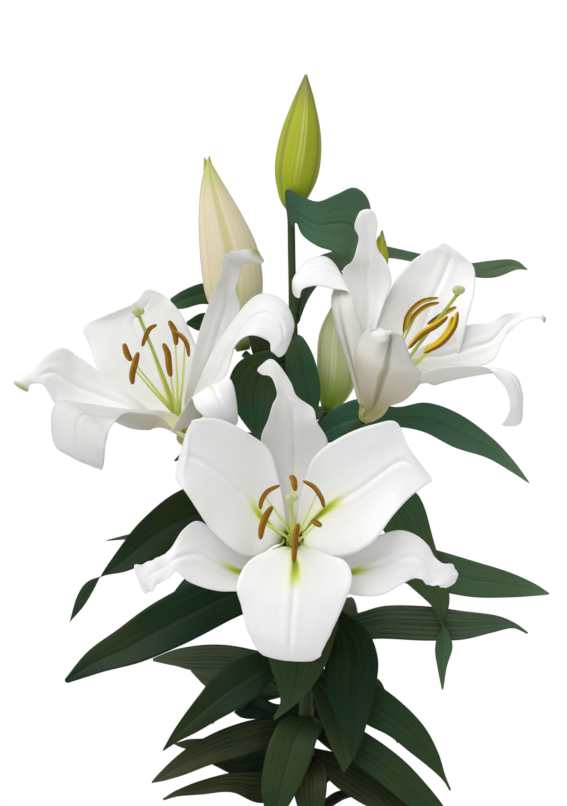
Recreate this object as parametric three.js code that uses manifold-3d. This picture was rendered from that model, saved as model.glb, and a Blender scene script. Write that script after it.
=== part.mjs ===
// A potted oriental lily: three white blooms, four buds and one leafy stem in a clay pot.
// Millimetres, +Z up. The origin is the middle of the pot's underside, and the viewer stands on -Y.
import * as THREE from "three";
import { mergeVertices } from "three/addons/utils/BufferGeometryUtils.js";
import Module from "manifold-3d";

const wasm = await Module();
wasm.setup();

// Driving dimensions
const POT_HEIGHT = 148;
const POT_TOP_RADIUS = 84;
const POT_FOOT_RADIUS = 56;
const POT_WALL = 7;
const POT_FLOOR = 12;
const RIM_HEIGHT = 26;
const RIM_STEP = 5;
const DRAIN_RADIUS = 6;
const DRAIN_CIRCLE = 28;
const SOIL_TOP = 133;
const STEM_RADIUS = 6.5;
const STEM_FOOT = 75;
const ROUND_SIDES = 28;
const SEAT_GAP = 0.3;
const LEAF_THICKNESS = 0.8;
const TEPAL_THICKNESS = 1.0;

// Colours
const TERRACOTTA = "#b5673f";
const SOIL = "#3a2a20";
const LEAF_GREEN = "#25432f";
const TEPAL_WHITE = "#f2f1ec";
const FILAMENT_GREEN = "#c9d08a";
const BUD_GREEN = "#9aa830";
const BUD_CREAM = "#d9d2b0";
const BUD_PALE = "#bcc78a";

// Directions that the upper side of a blade looks in
const UP = [0, 0, 1];
const FRONT = [0, -1, 0];
const FRONT_UP = [0, -0.7, 0.7];
const MOSTLY_FRONT = [0, -0.95, 0.3];
const MOSTLY_UP = [0, -0.5, 0.87];

// Small helpers for vectors and for curves through rows of numbers
const vector = (values) => new THREE.Vector3(values[0], values[1], values[2]);

function rowAt(rows, t) {
  // A smooth curve through the rows (Catmull-Rom), with each number of a row as one coordinate.
  const last = rows.length - 1;
  const index = Math.min(Math.floor(t * last), last - 1);
  const u = t * last - index;
  const from = rows[index];
  const to = rows[index + 1];
  const before = rows[index - 1] ?? from.map((value, k) => 2 * value - to[k]);
  const after = rows[index + 2] ?? to.map((value, k) => 2 * value - from[k]);
  return from.map((value, k) => {
    const slope = to[k] - before[k];
    const bend = 2 * before[k] - 5 * value + 4 * to[k] - after[k];
    const turn = 3 * value - before[k] - 3 * to[k] + after[k];
    return value + 0.5 * u * (slope + u * (bend + u * turn));
  });
}

function mixAt(rows, t) {
  // Straight mixing from row to row.
  const last = rows.length - 1;
  if (last === 0) return rows[0];
  const index = Math.min(Math.floor(t * last), last - 1);
  const u = t * last - index;
  return rows[index].map((value, k) => value + u * (rows[index + 1][k] - value));
}

function tangentAt(rows, t) {
  const step = 0.01;
  const ahead = vector(rowAt(rows, Math.min(t + step, 1)));
  const behind = vector(rowAt(rows, Math.max(t - step, 0)));
  return ahead.sub(behind).normalize();
}

function closedGeometry(points, triangles) {
  // A geometry from shared points, with its faces turned outwards.
  let volume = 0;
  for (const [a, b, c] of triangles) {
    volume += points[a].dot(points[b].clone().cross(points[c]));
  }
  const outward = volume > 0 ? triangles : triangles.map(([a, b, c]) => [a, c, b]);
  const geometry = new THREE.BufferGeometry();
  const positions = points.flatMap((point) => [point.x, point.y, point.z]);
  geometry.setAttribute("position", new THREE.Float32BufferAttribute(positions, 3));
  geometry.setIndex(outward.flat());
  return geometry;
}

// A sheet is a thin closed strip between two edges: a leaf or a tepal. Each section holds its left
// and right edge and its place t from base to tip, and liftAt(section, s, half) raises the sheet
// off the straight line between the edges, with s from -1 at the left edge to 1 at the right.
function sheetGeometry(sections, { strips, thickness, liftAt }) {
  const centres = sections.map(({ left, right }) => left.clone().add(right).multiplyScalar(0.5));
  const upper = [];
  const lower = [];
  for (const [i, section] of sections.entries()) {
    const half = section.left.distanceTo(section.right) / 2;
    const side = section.right.clone().sub(section.left).normalize();
    const tangent = (centres[i + 1] ?? centres[i]).clone().sub(centres[i - 1] ?? centres[i]);
    const normal = side.clone().cross(tangent).normalize();
    for (let j = 0; j <= strips; j += 1) {
      const s = (2 * j) / strips - 1;
      const middle = centres[i].clone().addScaledVector(side, s * half);
      middle.addScaledVector(normal, liftAt(section, s, half));
      upper.push(middle.clone().addScaledVector(normal, thickness / 2));
      lower.push(middle.clone().addScaledVector(normal, -thickness / 2));
    }
  }
  const steps = sections.length - 1;
  const columns = strips + 1;
  const under = upper.length;
  const triangles = [];
  const quad = (a, b, c, d) => triangles.push([a, b, c], [a, c, d]);
  for (let i = 0; i < steps; i += 1) {
    for (let j = 0; j < strips; j += 1) {
      const a = i * columns + j;
      const b = a + 1;
      const c = a + columns + 1;
      const d = a + columns;
      triangles.push([a, b, c], [a, c, d]);
      triangles.push([under + a, under + c, under + b], [under + a, under + d, under + c]);
    }
    const left = i * columns;
    const right = left + strips;
    quad(left, left + columns, under + left + columns, under + left);
    quad(right + columns, right, under + right, under + right + columns);
  }
  for (let j = 0; j < strips; j += 1) {
    const tip = steps * columns + j;
    quad(j + 1, j, under + j, under + j + 1);
    quad(tip, tip + 1, under + tip + 1, under + tip);
  }
  return closedGeometry([...upper, ...lower], triangles);
}

function edgeSections(rows, steps) {
  // Sections along rows of [left edge, right edge, sag]. A sag lowers the middle of a section.
  const flat = rows.map((row) => row.flat());
  return Array.from({ length: steps + 1 }, (_, k) => {
    const t = k / steps;
    const values = rowAt(flat, t);
    return { left: vector(values), right: vector(values.slice(3)), sag: values[6], t };
  });
}

// A rod is a closed tube with a radius of its own at each row, [x, y, z, radius]: a stem, filament or bud.
// lobes raise that many ridges along it, by the given depth.
function rodGeometry(rows, { steps, sides, lobes = 0, depth = 0 }) {
  const points = [];
  const triangles = [];
  let across = null;
  for (let i = 0; i <= steps; i += 1) {
    const t = i / steps;
    const [x, y, z, radius] = rowAt(rows, t);
    const tangent = tangentAt(rows, t);
    if (across === null) across = vector(Math.abs(tangent.x) < 0.8 ? [1, 0, 0] : [0, 1, 0]);
    across.addScaledVector(tangent, -across.dot(tangent)).normalize();
    const upward = tangent.clone().cross(across);
    for (let j = 0; j < sides; j += 1) {
      const angle = (2 * Math.PI * j) / sides;
      const reach = Math.max(radius, 0.4) * (1 + depth * Math.cos(lobes * angle));
      const point = new THREE.Vector3(x, y, z);
      point.addScaledVector(across, reach * Math.cos(angle));
      point.addScaledVector(upward, reach * Math.sin(angle));
      points.push(point);
    }
  }
  for (let i = 0; i < steps; i += 1) {
    for (let j = 0; j < sides; j += 1) {
      const a = i * sides + j;
      const b = i * sides + ((j + 1) % sides);
      triangles.push([a, b, b + sides], [a, b + sides, a + sides]);
    }
  }
  const top = steps * sides;
  for (let j = 1; j < sides - 1; j += 1) {
    triangles.push([0, j + 1, j], [top, top + j, top + j + 1]);
  }
  return closedGeometry(points, triangles);
}

// Joining and cutting
function solid(geometry) {
  const bare = geometry.clone();
  bare.deleteAttribute("normal");
  bare.deleteAttribute("uv");
  const merged = mergeVertices(bare, 1e-4);
  const vertProperties = new Float32Array(merged.attributes.position.array);
  const triVerts = new Uint32Array(merged.index.array);
  return new wasm.Manifold(new wasm.Mesh({ numProp: 3, vertProperties, triVerts }));
}

function largestPiece(positions, index) {
  // Keeps the piece of greatest volume: sealed hollows are filled and loose scraps dropped.
  const parent = Array.from({ length: positions.length / 3 }, (_, k) => k);
  const root = (k) => {
    while (parent[k] !== k) {
      parent[k] = parent[parent[k]];
      k = parent[k];
    }
    return k;
  };
  const corner = (k) => new THREE.Vector3().fromArray(positions, 3 * k);
  for (let k = 0; k < index.length; k += 3) {
    parent[root(index[k + 1])] = root(index[k]);
    parent[root(index[k + 2])] = root(index[k]);
  }
  const volumes = new Map();
  for (let k = 0; k < index.length; k += 3) {
    const [a, b, c] = [corner(index[k]), corner(index[k + 1]), corner(index[k + 2])];
    const key = root(index[k]);
    volumes.set(key, (volumes.get(key) ?? 0) + a.dot(b.cross(c)));
  }
  const kept = [...volumes.entries()].sort((one, other) => other[1] - one[1])[0][0];
  return index.filter((_, k) => root(index[k - (k % 3)]) === kept);
}

function geometryOf(manifold) {
  const mesh = manifold.getMesh();
  const geometry = new THREE.BufferGeometry();
  geometry.setAttribute("position", new THREE.Float32BufferAttribute(mesh.vertProperties, 3));
  geometry.setIndex(largestPiece(mesh.vertProperties, Array.from(mesh.triVerts)));
  return geometry;
}

function fused(geometries) {
  return geometryOf(geometries.map(solid).reduce((whole, next) => whole.add(next)).simplify(0.05));
}

function node(name, geometry, color, roughness) {
  const flat = geometry.index ? geometry.toNonIndexed() : geometry;
  flat.computeVertexNormals();
  const mesh = new THREE.Mesh(flat, new THREE.MeshStandardMaterial({ color, roughness, metalness: 0 }));
  mesh.name = name;
  return mesh;
}

// The pot: a tapered clay wall with a rim band and three drainage holes
function potGeometry() {
  const rimFoot = POT_HEIGHT - RIM_HEIGHT;
  const taper = (POT_TOP_RADIUS - RIM_STEP - POT_FOOT_RADIUS) / rimFoot;
  const wallAt = (z) => POT_FOOT_RADIUS + taper * z;
  const outline = [
    [0, 0],
    [POT_FOOT_RADIUS - 2, 0],
    [POT_FOOT_RADIUS, 2],
    [wallAt(rimFoot), rimFoot],
    [POT_TOP_RADIUS - 1.5, rimFoot],
    [POT_TOP_RADIUS, rimFoot + 2],
    [POT_TOP_RADIUS, POT_HEIGHT - 2],
    [POT_TOP_RADIUS - 2, POT_HEIGHT],
    [POT_TOP_RADIUS - POT_WALL, POT_HEIGHT],
    [POT_TOP_RADIUS - POT_WALL - 2, POT_HEIGHT - 2],
    [wallAt(POT_FLOOR) - POT_WALL, POT_FLOOR],
    [0, POT_FLOOR],
  ];
  const profile = outline.map(([radius, z]) => new THREE.Vector2(radius, z));
  const body = new THREE.LatheGeometry(profile, ROUND_SIDES);
  body.rotateX(Math.PI / 2);
  let pot = solid(body);
  for (let k = 0; k < 3; k += 1) {
    const angle = (2 * Math.PI * k) / 3;
    const drain = new THREE.CylinderGeometry(DRAIN_RADIUS, DRAIN_RADIUS, 2 * POT_FLOOR, 12);
    drain.rotateX(Math.PI / 2);
    drain.translate(DRAIN_CIRCLE * Math.cos(angle), DRAIN_CIRCLE * Math.sin(angle), POT_FLOOR / 2);
    pot = pot.subtract(solid(drain));
  }
  return geometryOf(pot);
}

// The soil: it fills the pot and has a plain blind hole that the stem stands in
function soilGeometry() {
  const rimInner = POT_TOP_RADIUS - POT_WALL - 2;
  const rimFoot = POT_HEIGHT - RIM_HEIGHT;
  const taper = (POT_TOP_RADIUS - RIM_STEP - POT_FOOT_RADIUS) / rimFoot;
  const footRadius = POT_FOOT_RADIUS + taper * POT_FLOOR - POT_WALL;
  const slope = (rimInner - footRadius) / (POT_HEIGHT - 2 - POT_FLOOR);
  const bottom = POT_FLOOR + SEAT_GAP;
  const clearAt = (z) => footRadius + slope * (z - POT_FLOOR) - 1.2 * SEAT_GAP;
  const hole = STEM_RADIUS + SEAT_GAP;
  const holeFloor = STEM_FOOT - SEAT_GAP;
  const outline = [
    [0, bottom],
    [clearAt(bottom), bottom],
    [clearAt(SOIL_TOP - 2), SOIL_TOP - 2],
    [56, SOIL_TOP + 1],
    [36, SOIL_TOP - 1],
    [20, SOIL_TOP + 2],
    [hole, SOIL_TOP + 4],
    [hole, holeFloor],
    [0, holeFloor],
  ];
  const profile = outline.map(([radius, z]) => new THREE.Vector2(radius, z));
  const body = new THREE.LatheGeometry(profile, ROUND_SIDES);
  body.rotateX(Math.PI / 2);
  return geometryOf(solid(body));
}

// The stem and the stalks that leave it, each row [x, y, z, radius]
const MAIN_STEM = [
  [0, 0, STEM_FOOT, STEM_RADIUS],
  [0, 0, 150, 6.2],
  [0, 0, 274, 5],
  [-3, 0, 400, 4.3],
  [-8, 0, 500, 3.5],
  [-9.5, 0, 560, 2.7],
  [-10.5, 0, 616, 2.5],
];
const STALKS = [
  [[-1, 0, 345, 3], [-5, -14, 370, 2.8], [-9, -33.4, 386.4, 2.8]],
  [[-4, 0, 425, 3], [-40, -4, 438, 2.8], [-79, -10, 449, 2.8]],
  [[-4, 0, 440, 3], [16, -12, 450, 2.8], [38.6, -21.7, 469.1, 2.8]],
  [[-7, 0, 488, 2.8], [-24, 8, 500, 2.6], [-43.5, 14, 517, 2.6]],
  [[-4, 0, 448, 2.6], [6, 4, 462, 2.3], [14.5, 8, 474.5, 2.3]],
  [[-9, 0, 545, 2.2], [-3, 8, 566, 2], [14, 14, 577, 1.8], [34, 18, 569, 1.7], [51.5, 20, 569.8, 1.6]],
];

// The leaves that the viewer sees: rows of [one edge, other edge] from the stem to the tip
const EDGE_LEAVES = {
  bigLeft: [
    [[0, -2, 363], [0, -2, 372]], [[-25, -14, 344], [-39, -10, 369]],
    [[-53, -24, 331], [-70, -16, 361]], [[-85, -32, 315], [-103, -22, 344]],
    [[-114, -36, 303], [-130, -26, 325]], [[-142, -36, 296], [-151, -30, 310]],
    [[-165, -34, 289], [-167, -34, 291]],
  ],
  leftTwisted: [
    [[-1, -2, 421], [-1, -2, 430]], [[-31, -8, 406], [-39, -4, 430]],
    [[-61, -12, 390], [-70, -8, 427]], [[-89, -16, 381], [-93, -10, 418]],
    [[-108, -18, 372], [-114, -12, 400]], [[-124, -18, 365], [-130, -12, 380]],
    [[-139, -14, 362], [-141, -12, 365]], [[-152, -8, 358], [-148, -12, 352]],
    [[-160, -6, 347], [-155, -10, 341]], [[-165, -8, 329], [-165, -8, 329]],
  ],
  leftLevel: [
    [[0, 2, 296], [0, 2, 303]], [[-25, 10, 293], [-31, 6, 308]],
    [[-55, 14, 293], [-57, 8, 313]], [[-78, 16, 294], [-82, 10, 311]],
    [[-94, 16, 297], [-97, 12, 307]], [[-108, 14, 300], [-108, 14, 302]],
  ],
  leftSmallTip: [
    [[0, 3, 281], [0, 3, 289]], [[-31, 20, 271], [-36, 14, 291]],
    [[-57, 26, 270], [-57, 20, 293]], [[-71, 28, 281], [-71, 24, 294]],
    [[-81, 28, 291], [-82, 28, 292]],
  ],
  leftLower: [
    [[0, -3, 302], [-1, -3, 312]], [[-21, -22, 292], [-31, -20, 309]],
    [[-33, -28, 280], [-49, -24, 304]], [[-47, -31, 271], [-63, -27, 294]],
    [[-62, -33, 263], [-72, -29, 283]], [[-76, -34, 255], [-81, -31, 271]],
    [[-88, -33, 249], [-91, -32, 257]], [[-99, -32, 242], [-99, -32, 243]],
  ],
  leftDarkBehind: [
    [[0, 2, 265], [0, 2, 274]], [[-20, 10, 258], [-21, 6, 271]],
    [[-34, 14, 259], [-34, 10, 277]], [[-44, 16, 260], [-43, 12, 270]],
    [[-50, 16, 263], [-51, 16, 264]],
  ],
  leftSecondLowest: [
    [[0, -2, 248], [0, -2, 259]], [[-24, -14, 243], [-31, -10, 262]],
    [[-46, -20, 237], [-54, -16, 257]], [[-65, -24, 232], [-74, -20, 248]],
    [[-84, -26, 225], [-89, -23, 238]], [[-98, -25, 221], [-101, -25, 227]],
    [[-107, -24, 219], [-107, -24, 220]],
  ],
  leftDarkLow: [
    [[0, 2, 225], [0, 2, 237]], [[-31, 10, 223], [-31, 6, 240]],
    [[-51, 14, 221], [-49, 12, 234]], [[-66, 14, 227], [-66, 14, 228]],
  ],
  leftLowTip: [
    [[0, 2, 249], [0, 2, 258]], [[-39, 18, 238], [-39, 16, 248]],
    [[-71, 22, 236], [-71, 20, 245]], [[-85, 24, 237], [-83, 22, 244]],
    [[-93, 24, 240], [-93, 24, 241]],
  ],
  leftLowest: [
    [[0, -2, 210], [0, -2, 222]], [[-31, -8, 203], [-34, -6, 225]],
    [[-52, -14, 211], [-54, -10, 224]], [[-72, -16, 210], [-75, -14, 219]],
    [[-88, -17, 209], [-90, -16, 213]], [[-99, -16, 206], [-100, -16, 207]],
  ],
  frontBright: [
    [[3, -3, 351], [-4, -3, 351]], [[18, -34, 344], [-15, -34, 346]],
    [[22, -44, 332], [-25, -44, 332]], [[19, -50, 320], [-28, -50, 317]],
    [[14, -54, 306], [-25, -54, 304]], [[4, -54, 289], [-20, -54, 289]],
    [[-7, -51, 277], [-18, -51, 278]], [[-22, -48, 265], [-23, -48, 267]],
  ],
  frontDark: [
    [[4, -2, 350], [-1, -2, 344]], [[22, -22, 340], [11, -20, 330]],
    [[41, -32, 327], [16, -30, 313]], [[49, -38, 308], [13, -36, 303]],
    [[48, -42, 289], [13, -40, 286]], [[43, -42, 268], [21, -41, 267]],
    [[38, -39, 251], [27, -39, 251]], [[33, -36, 237], [32, -36, 236]],
  ],
  rightLevel: [
    [[1, -2, 334], [1, -2, 323]], [[32, -8, 335], [32, -8, 317]],
    [[55, -12, 341], [54, -12, 318]], [[83, -16, 341], [83, -16, 317]],
    [[108, -19, 338], [108, -19, 318]], [[131, -21, 335], [129, -22, 323]],
    [[144, -22, 330], [143, -22, 326]], [[154, -22, 323], [153, -22, 322]],
  ],
  rightTwisted: [
    [[0, -1, 423], [0, -1, 414]], [[32, -8, 431], [28, -12, 409]],
    [[60, -12, 428], [48, -18, 399]], [[78, -14, 417], [59, -22, 384]],
    [[88, -16, 387], [67, -24, 365]], [[95, -20, 363], [75, -24, 353]],
    [[99, -22, 348], [86, -24, 342]], [[96, -18, 333], [92, -26, 332]],
    [[91, -20, 322], [98, -24, 324]], [[89, -19, 311], [101, -24, 313]],
    [[91, -19, 298], [97, -23, 299]], [[94, -20, 283], [95, -20, 283]],
  ],
  rightLong: [
    [[1, -2, 389], [1, -2, 378]], [[38, -4, 390], [35, -6, 368]],
    [[69, -8, 385], [67, -10, 357]], [[93, -11, 379], [93, -13, 351]],
    [[117, -14, 372], [117, -15, 347]], [[140, -16, 365], [142, -16, 347]],
    [[158, -16, 357], [158, -16, 348]], [[169, -16, 350], [169, -16, 349]],
  ],
  rightLower: [
    [[2, -2, 297], [1, -2, 285]], [[30, -14, 295], [23, -16, 272]],
    [[51, -20, 286], [41, -20, 260]], [[68, -23, 273], [57, -24, 252]],
    [[82, -26, 258], [70, -26, 242]], [[91, -27, 241], [84, -27, 231]],
    [[96, -28, 225], [94, -28, 222]], [[100, -28, 215], [99, -28, 214]],
  ],
  rightLowest: [
    [[2, -2, 263], [1, -2, 253]], [[27, -10, 260], [19, -12, 239]],
    [[48, -16, 249], [35, -17, 231]], [[68, -19, 234], [53, -20, 217]],
    [[84, -20, 217], [70, -21, 203]], [[95, -20, 203], [86, -21, 192]],
    [[101, -20, 192], [98, -20, 185]], [[105, -18, 179], [105, -18, 178]],
  ],
  frontHanging: [
    [[4, -3, 263], [-4, -3, 263]], [[11, -20, 257], [-17, -20, 261]],
    [[7, -28, 248], [-25, -28, 249]], [[2, -32, 233], [-29, -32, 235]],
    [[-4, -34, 220], [-31, -34, 218]], [[-11, -32, 207], [-29, -32, 204]],
    [[-21, -28, 191], [-24, -28, 191]],
  ],
  upperLeft: [
    [[-4, -1, 539], [-4, -1, 546]], [[-31, 31, 545], [-31, 30, 558]],
    [[-58, 44, 550], [-55, 42, 567]], [[-73, 47, 553], [-73, 45, 568]],
    [[-86, 47, 550], [-87, 45, 563]], [[-93, 46, 549], [-98, 46, 556]],
  ],
  upperLeftLow: [
    [[-4, -1, 518], [-4, -1, 523]], [[-40, 34, 524], [-40, 33, 535]],
    [[-65, 40, 533], [-65, 38, 545]], [[-77, 40, 534], [-75, 38, 546]],
    [[-85, 38, 538], [-85, 38, 540]],
  ],
  centreLeft: [
    [[-6, -2, 508], [-6, -2, 515]], [[-15, -8, 499], [-25, -8, 519]],
    [[-19, -13, 490], [-46, -12, 511]], [[-19, -15, 483], [-54, -15, 495]],
    [[-22, -16, 472], [-50, -16, 479]], [[-28, -15, 461], [-40, -15, 464]],
    [[-31, -14, 457], [-33, -14, 457]],
  ],
  centreRight: [
    [[-7, -2, 530], [-11, -2, 529]], [[-1, -9, 526], [-14, -9, 522]],
    [[6, -13, 512], [-14, -13, 504]], [[10, -15, 492], [-8, -15, 487]],
    [[8, -14, 477], [-2, -14, 474]], [[5, -13, 467], [5, -13, 467]],
  ],
  upperRight: [
    [[-2, -1, 456], [-2, -1, 448]], [[17, -6, 476], [22, -6, 456]],
    [[38, -6, 485], [42, -8, 460]], [[62, -8, 479], [60, -10, 465]],
    [[84, -10, 482], [81, -12, 462]], [[107, -12, 474], [103, -14, 451]],
    [[129, -14, 458], [125, -15, 444]], [[144, -15, 442], [141, -16, 435]],
    [[155, -16, 427], [155, -16, 426]],
  ],
};

// Further leaves: spine points [x, y, z] from the stem to the tip, the greatest width, and the
// directions that the upper side looks in from base to tip
const SPINE_LEAVES = {
  leftBehind: {
    spine: [[-3, 0, 408], [-45, 18, 404], [-90, 28, 392], [-142, 34, 384]],
    width: 22,
    faces: [MOSTLY_UP],
  },
  rightBrownish: {
    spine: [[0, 0, 232], [30, -4, 218], [59, -8, 201], [90, -10, 176]],
    width: 26,
    faces: [FRONT_UP],
  },
  frontBluish: {
    spine: [[0, 0, 290], [12, -18, 282], [20, -26, 262], [26, -26, 240], [26, -22, 226]],
    width: 20,
    faces: [UP, FRONT_UP, FRONT],
  },
  frontFolded: {
    spine: [[0, 0, 235], [2, -20, 226], [3, -28, 206], [5, -26, 182]],
    width: 24,
    faces: [UP, FRONT_UP, FRONT],
  },
  upperRightLong: {
    spine: [
      [-9, 0, 538], [-3, 12, 560], [10, 24, 577], [27, 34, 583], [52, 39, 588],
      [80, 42, 584], [108, 42, 577], [131, 39, 577], [148, 36, 580], [158, 34, 577],
    ],
    width: 24,
    faces: [FRONT, FRONT_UP, FRONT_UP, [0, -0.35, 0.93], [0, -0.35, 0.93], MOSTLY_FRONT, MOSTLY_FRONT],
  },
  centreRising: {
    spine: [[-5, 0, 490], [-16, -4, 505], [-28, -6, 520], [-36, -6, 532]],
    width: 13,
    faces: [MOSTLY_FRONT],
  },
  leftDarkTip: {
    spine: [[-4, 0, 445], [-45, 14, 455], [-75, 18, 450], [-93, 18, 441]],
    width: 16,
    faces: [[0, -0.8, 0.6]],
  },
};

// The leaves at the back and at the foot: [angle from +X in degrees, height on the stem, length,
// drop of the tip]
const BACK_LEAVES = [
  [150, 352, 120, 20], [103, 335, 130, 30], [72, 318, 130, 34], [32, 345, 120, 18],
  [130, 272, 105, 24], [88, 250, 130, 34], [50, 268, 105, 34], [105, 228, 125, 30],
  [66, 205, 130, 26], [128, 400, 115, 20], [92, 385, 135, 34], [56, 405, 115, 22],
  [105, 440, 115, 10], [70, 460, 120, 14],
];
const FOOT_LEAVES = [
  [200, 182, 95, 12], [335, 180, 95, 12], [268, 176, 80, 10],
  [25, 190, 100, 20], [115, 166, 95, 14], [160, 172, 95, 18],
];

// The leaf that clasps the stalk under the top bud: rows of its upper edge, lower edge and sag
const BRACT = [
  [[-13, -1, 611], [-10, -1, 603], 0], [[-14, -14, 630], [-7, -14, 607], 1],
  [[-4, -16, 626], [-2, -14, 598], 2], [[8, -16, 622], [8, -14, 591], 3],
  [[21, -14, 627], [17, -12, 588], 3], [[33, -11, 632], [25, -10, 584], 3],
  [[42, -8, 626], [29, -8, 581], 2], [[45, -6, 613], [32, -7, 580], 1],
  [[38, -6, 594], [33, -7, 580], 0],
];

function leafWidth(t) {
  // Narrow where it clasps the stem, widest before the middle, and drawn out to a point.
  const widest = 0.42;
  if (t < widest) return 0.3 + 0.7 * Math.sin((Math.PI / 2) * (t / widest));
  return 1 - ((t - widest) / (1 - widest)) ** 2;
}

function foldedLeaf(sections) {
  // A leaf is folded a little along its midrib.
  const liftAt = (section, s, half) => 0.15 * half * Math.abs(s);
  return sheetGeometry(sections, { strips: 2, thickness: LEAF_THICKNESS, liftAt });
}

function leafGeometry(spine, width, faces, steps) {
  const sections = Array.from({ length: steps + 1 }, (_, k) => {
    const t = k / steps;
    const centre = vector(rowAt(spine, t));
    const side = tangentAt(spine, t).cross(vector(mixAt(faces, t))).normalize();
    const reach = side.multiplyScalar(Math.max(width * leafWidth(t), 1.2) / 2);
    return { left: centre.clone().sub(reach), right: centre.clone().add(reach), t };
  });
  return foldedLeaf(sections);
}

function edgeLeafGeometry(rows) {
  return foldedLeaf(edgeSections(rows, rows.length - 1));
}

function radialLeafGeometry([angle, height, length, drop]) {
  // Rises off the stem, arches over and lets its tip hang by the given drop.
  const turn = THREE.MathUtils.degToRad(angle);
  const [east, north] = [Math.cos(turn), Math.sin(turn)];
  const spine = [[0, 0], [0.3, 0.14], [0.65, 0.12]].map(([out, rise]) => {
    return [east * out * length, north * out * length, height + rise * length];
  });
  spine.push([east * length, north * length, height - drop]);
  spine[0][0] = rowAt(MAIN_STEM, (height - STEM_FOOT) / (616 - STEM_FOOT))[0];
  return leafGeometry(spine, 28, [UP, [0.5 * east, 0.5 * north, 0.7]], 4);
}

function bractGeometry() {
  const sections = edgeSections(BRACT, BRACT.length - 1);
  const liftAt = ({ sag }, s) => -sag * (1 - s * s);
  return sheetGeometry(sections, { strips: 4, thickness: LEAF_THICKNESS, liftAt });
}

function leafyStemGeometry() {
  const pieces = [rodGeometry(MAIN_STEM, { steps: 8, sides: 8 })];
  for (const stalk of STALKS) pieces.push(rodGeometry(stalk, { steps: stalk.length, sides: 6 }));
  for (const rows of Object.values(EDGE_LEAVES)) pieces.push(edgeLeafGeometry(rows));
  for (const { spine, width, faces } of Object.values(SPINE_LEAVES)) {
    pieces.push(leafGeometry(spine, width, faces, spine.length > 5 ? 9 : 5));
  }
  for (const leaf of [...BACK_LEAVES, ...FOOT_LEAVES]) pieces.push(radialLeafGeometry(leaf));
  pieces.push(bractGeometry());
  return fused(pieces);
}

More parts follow.
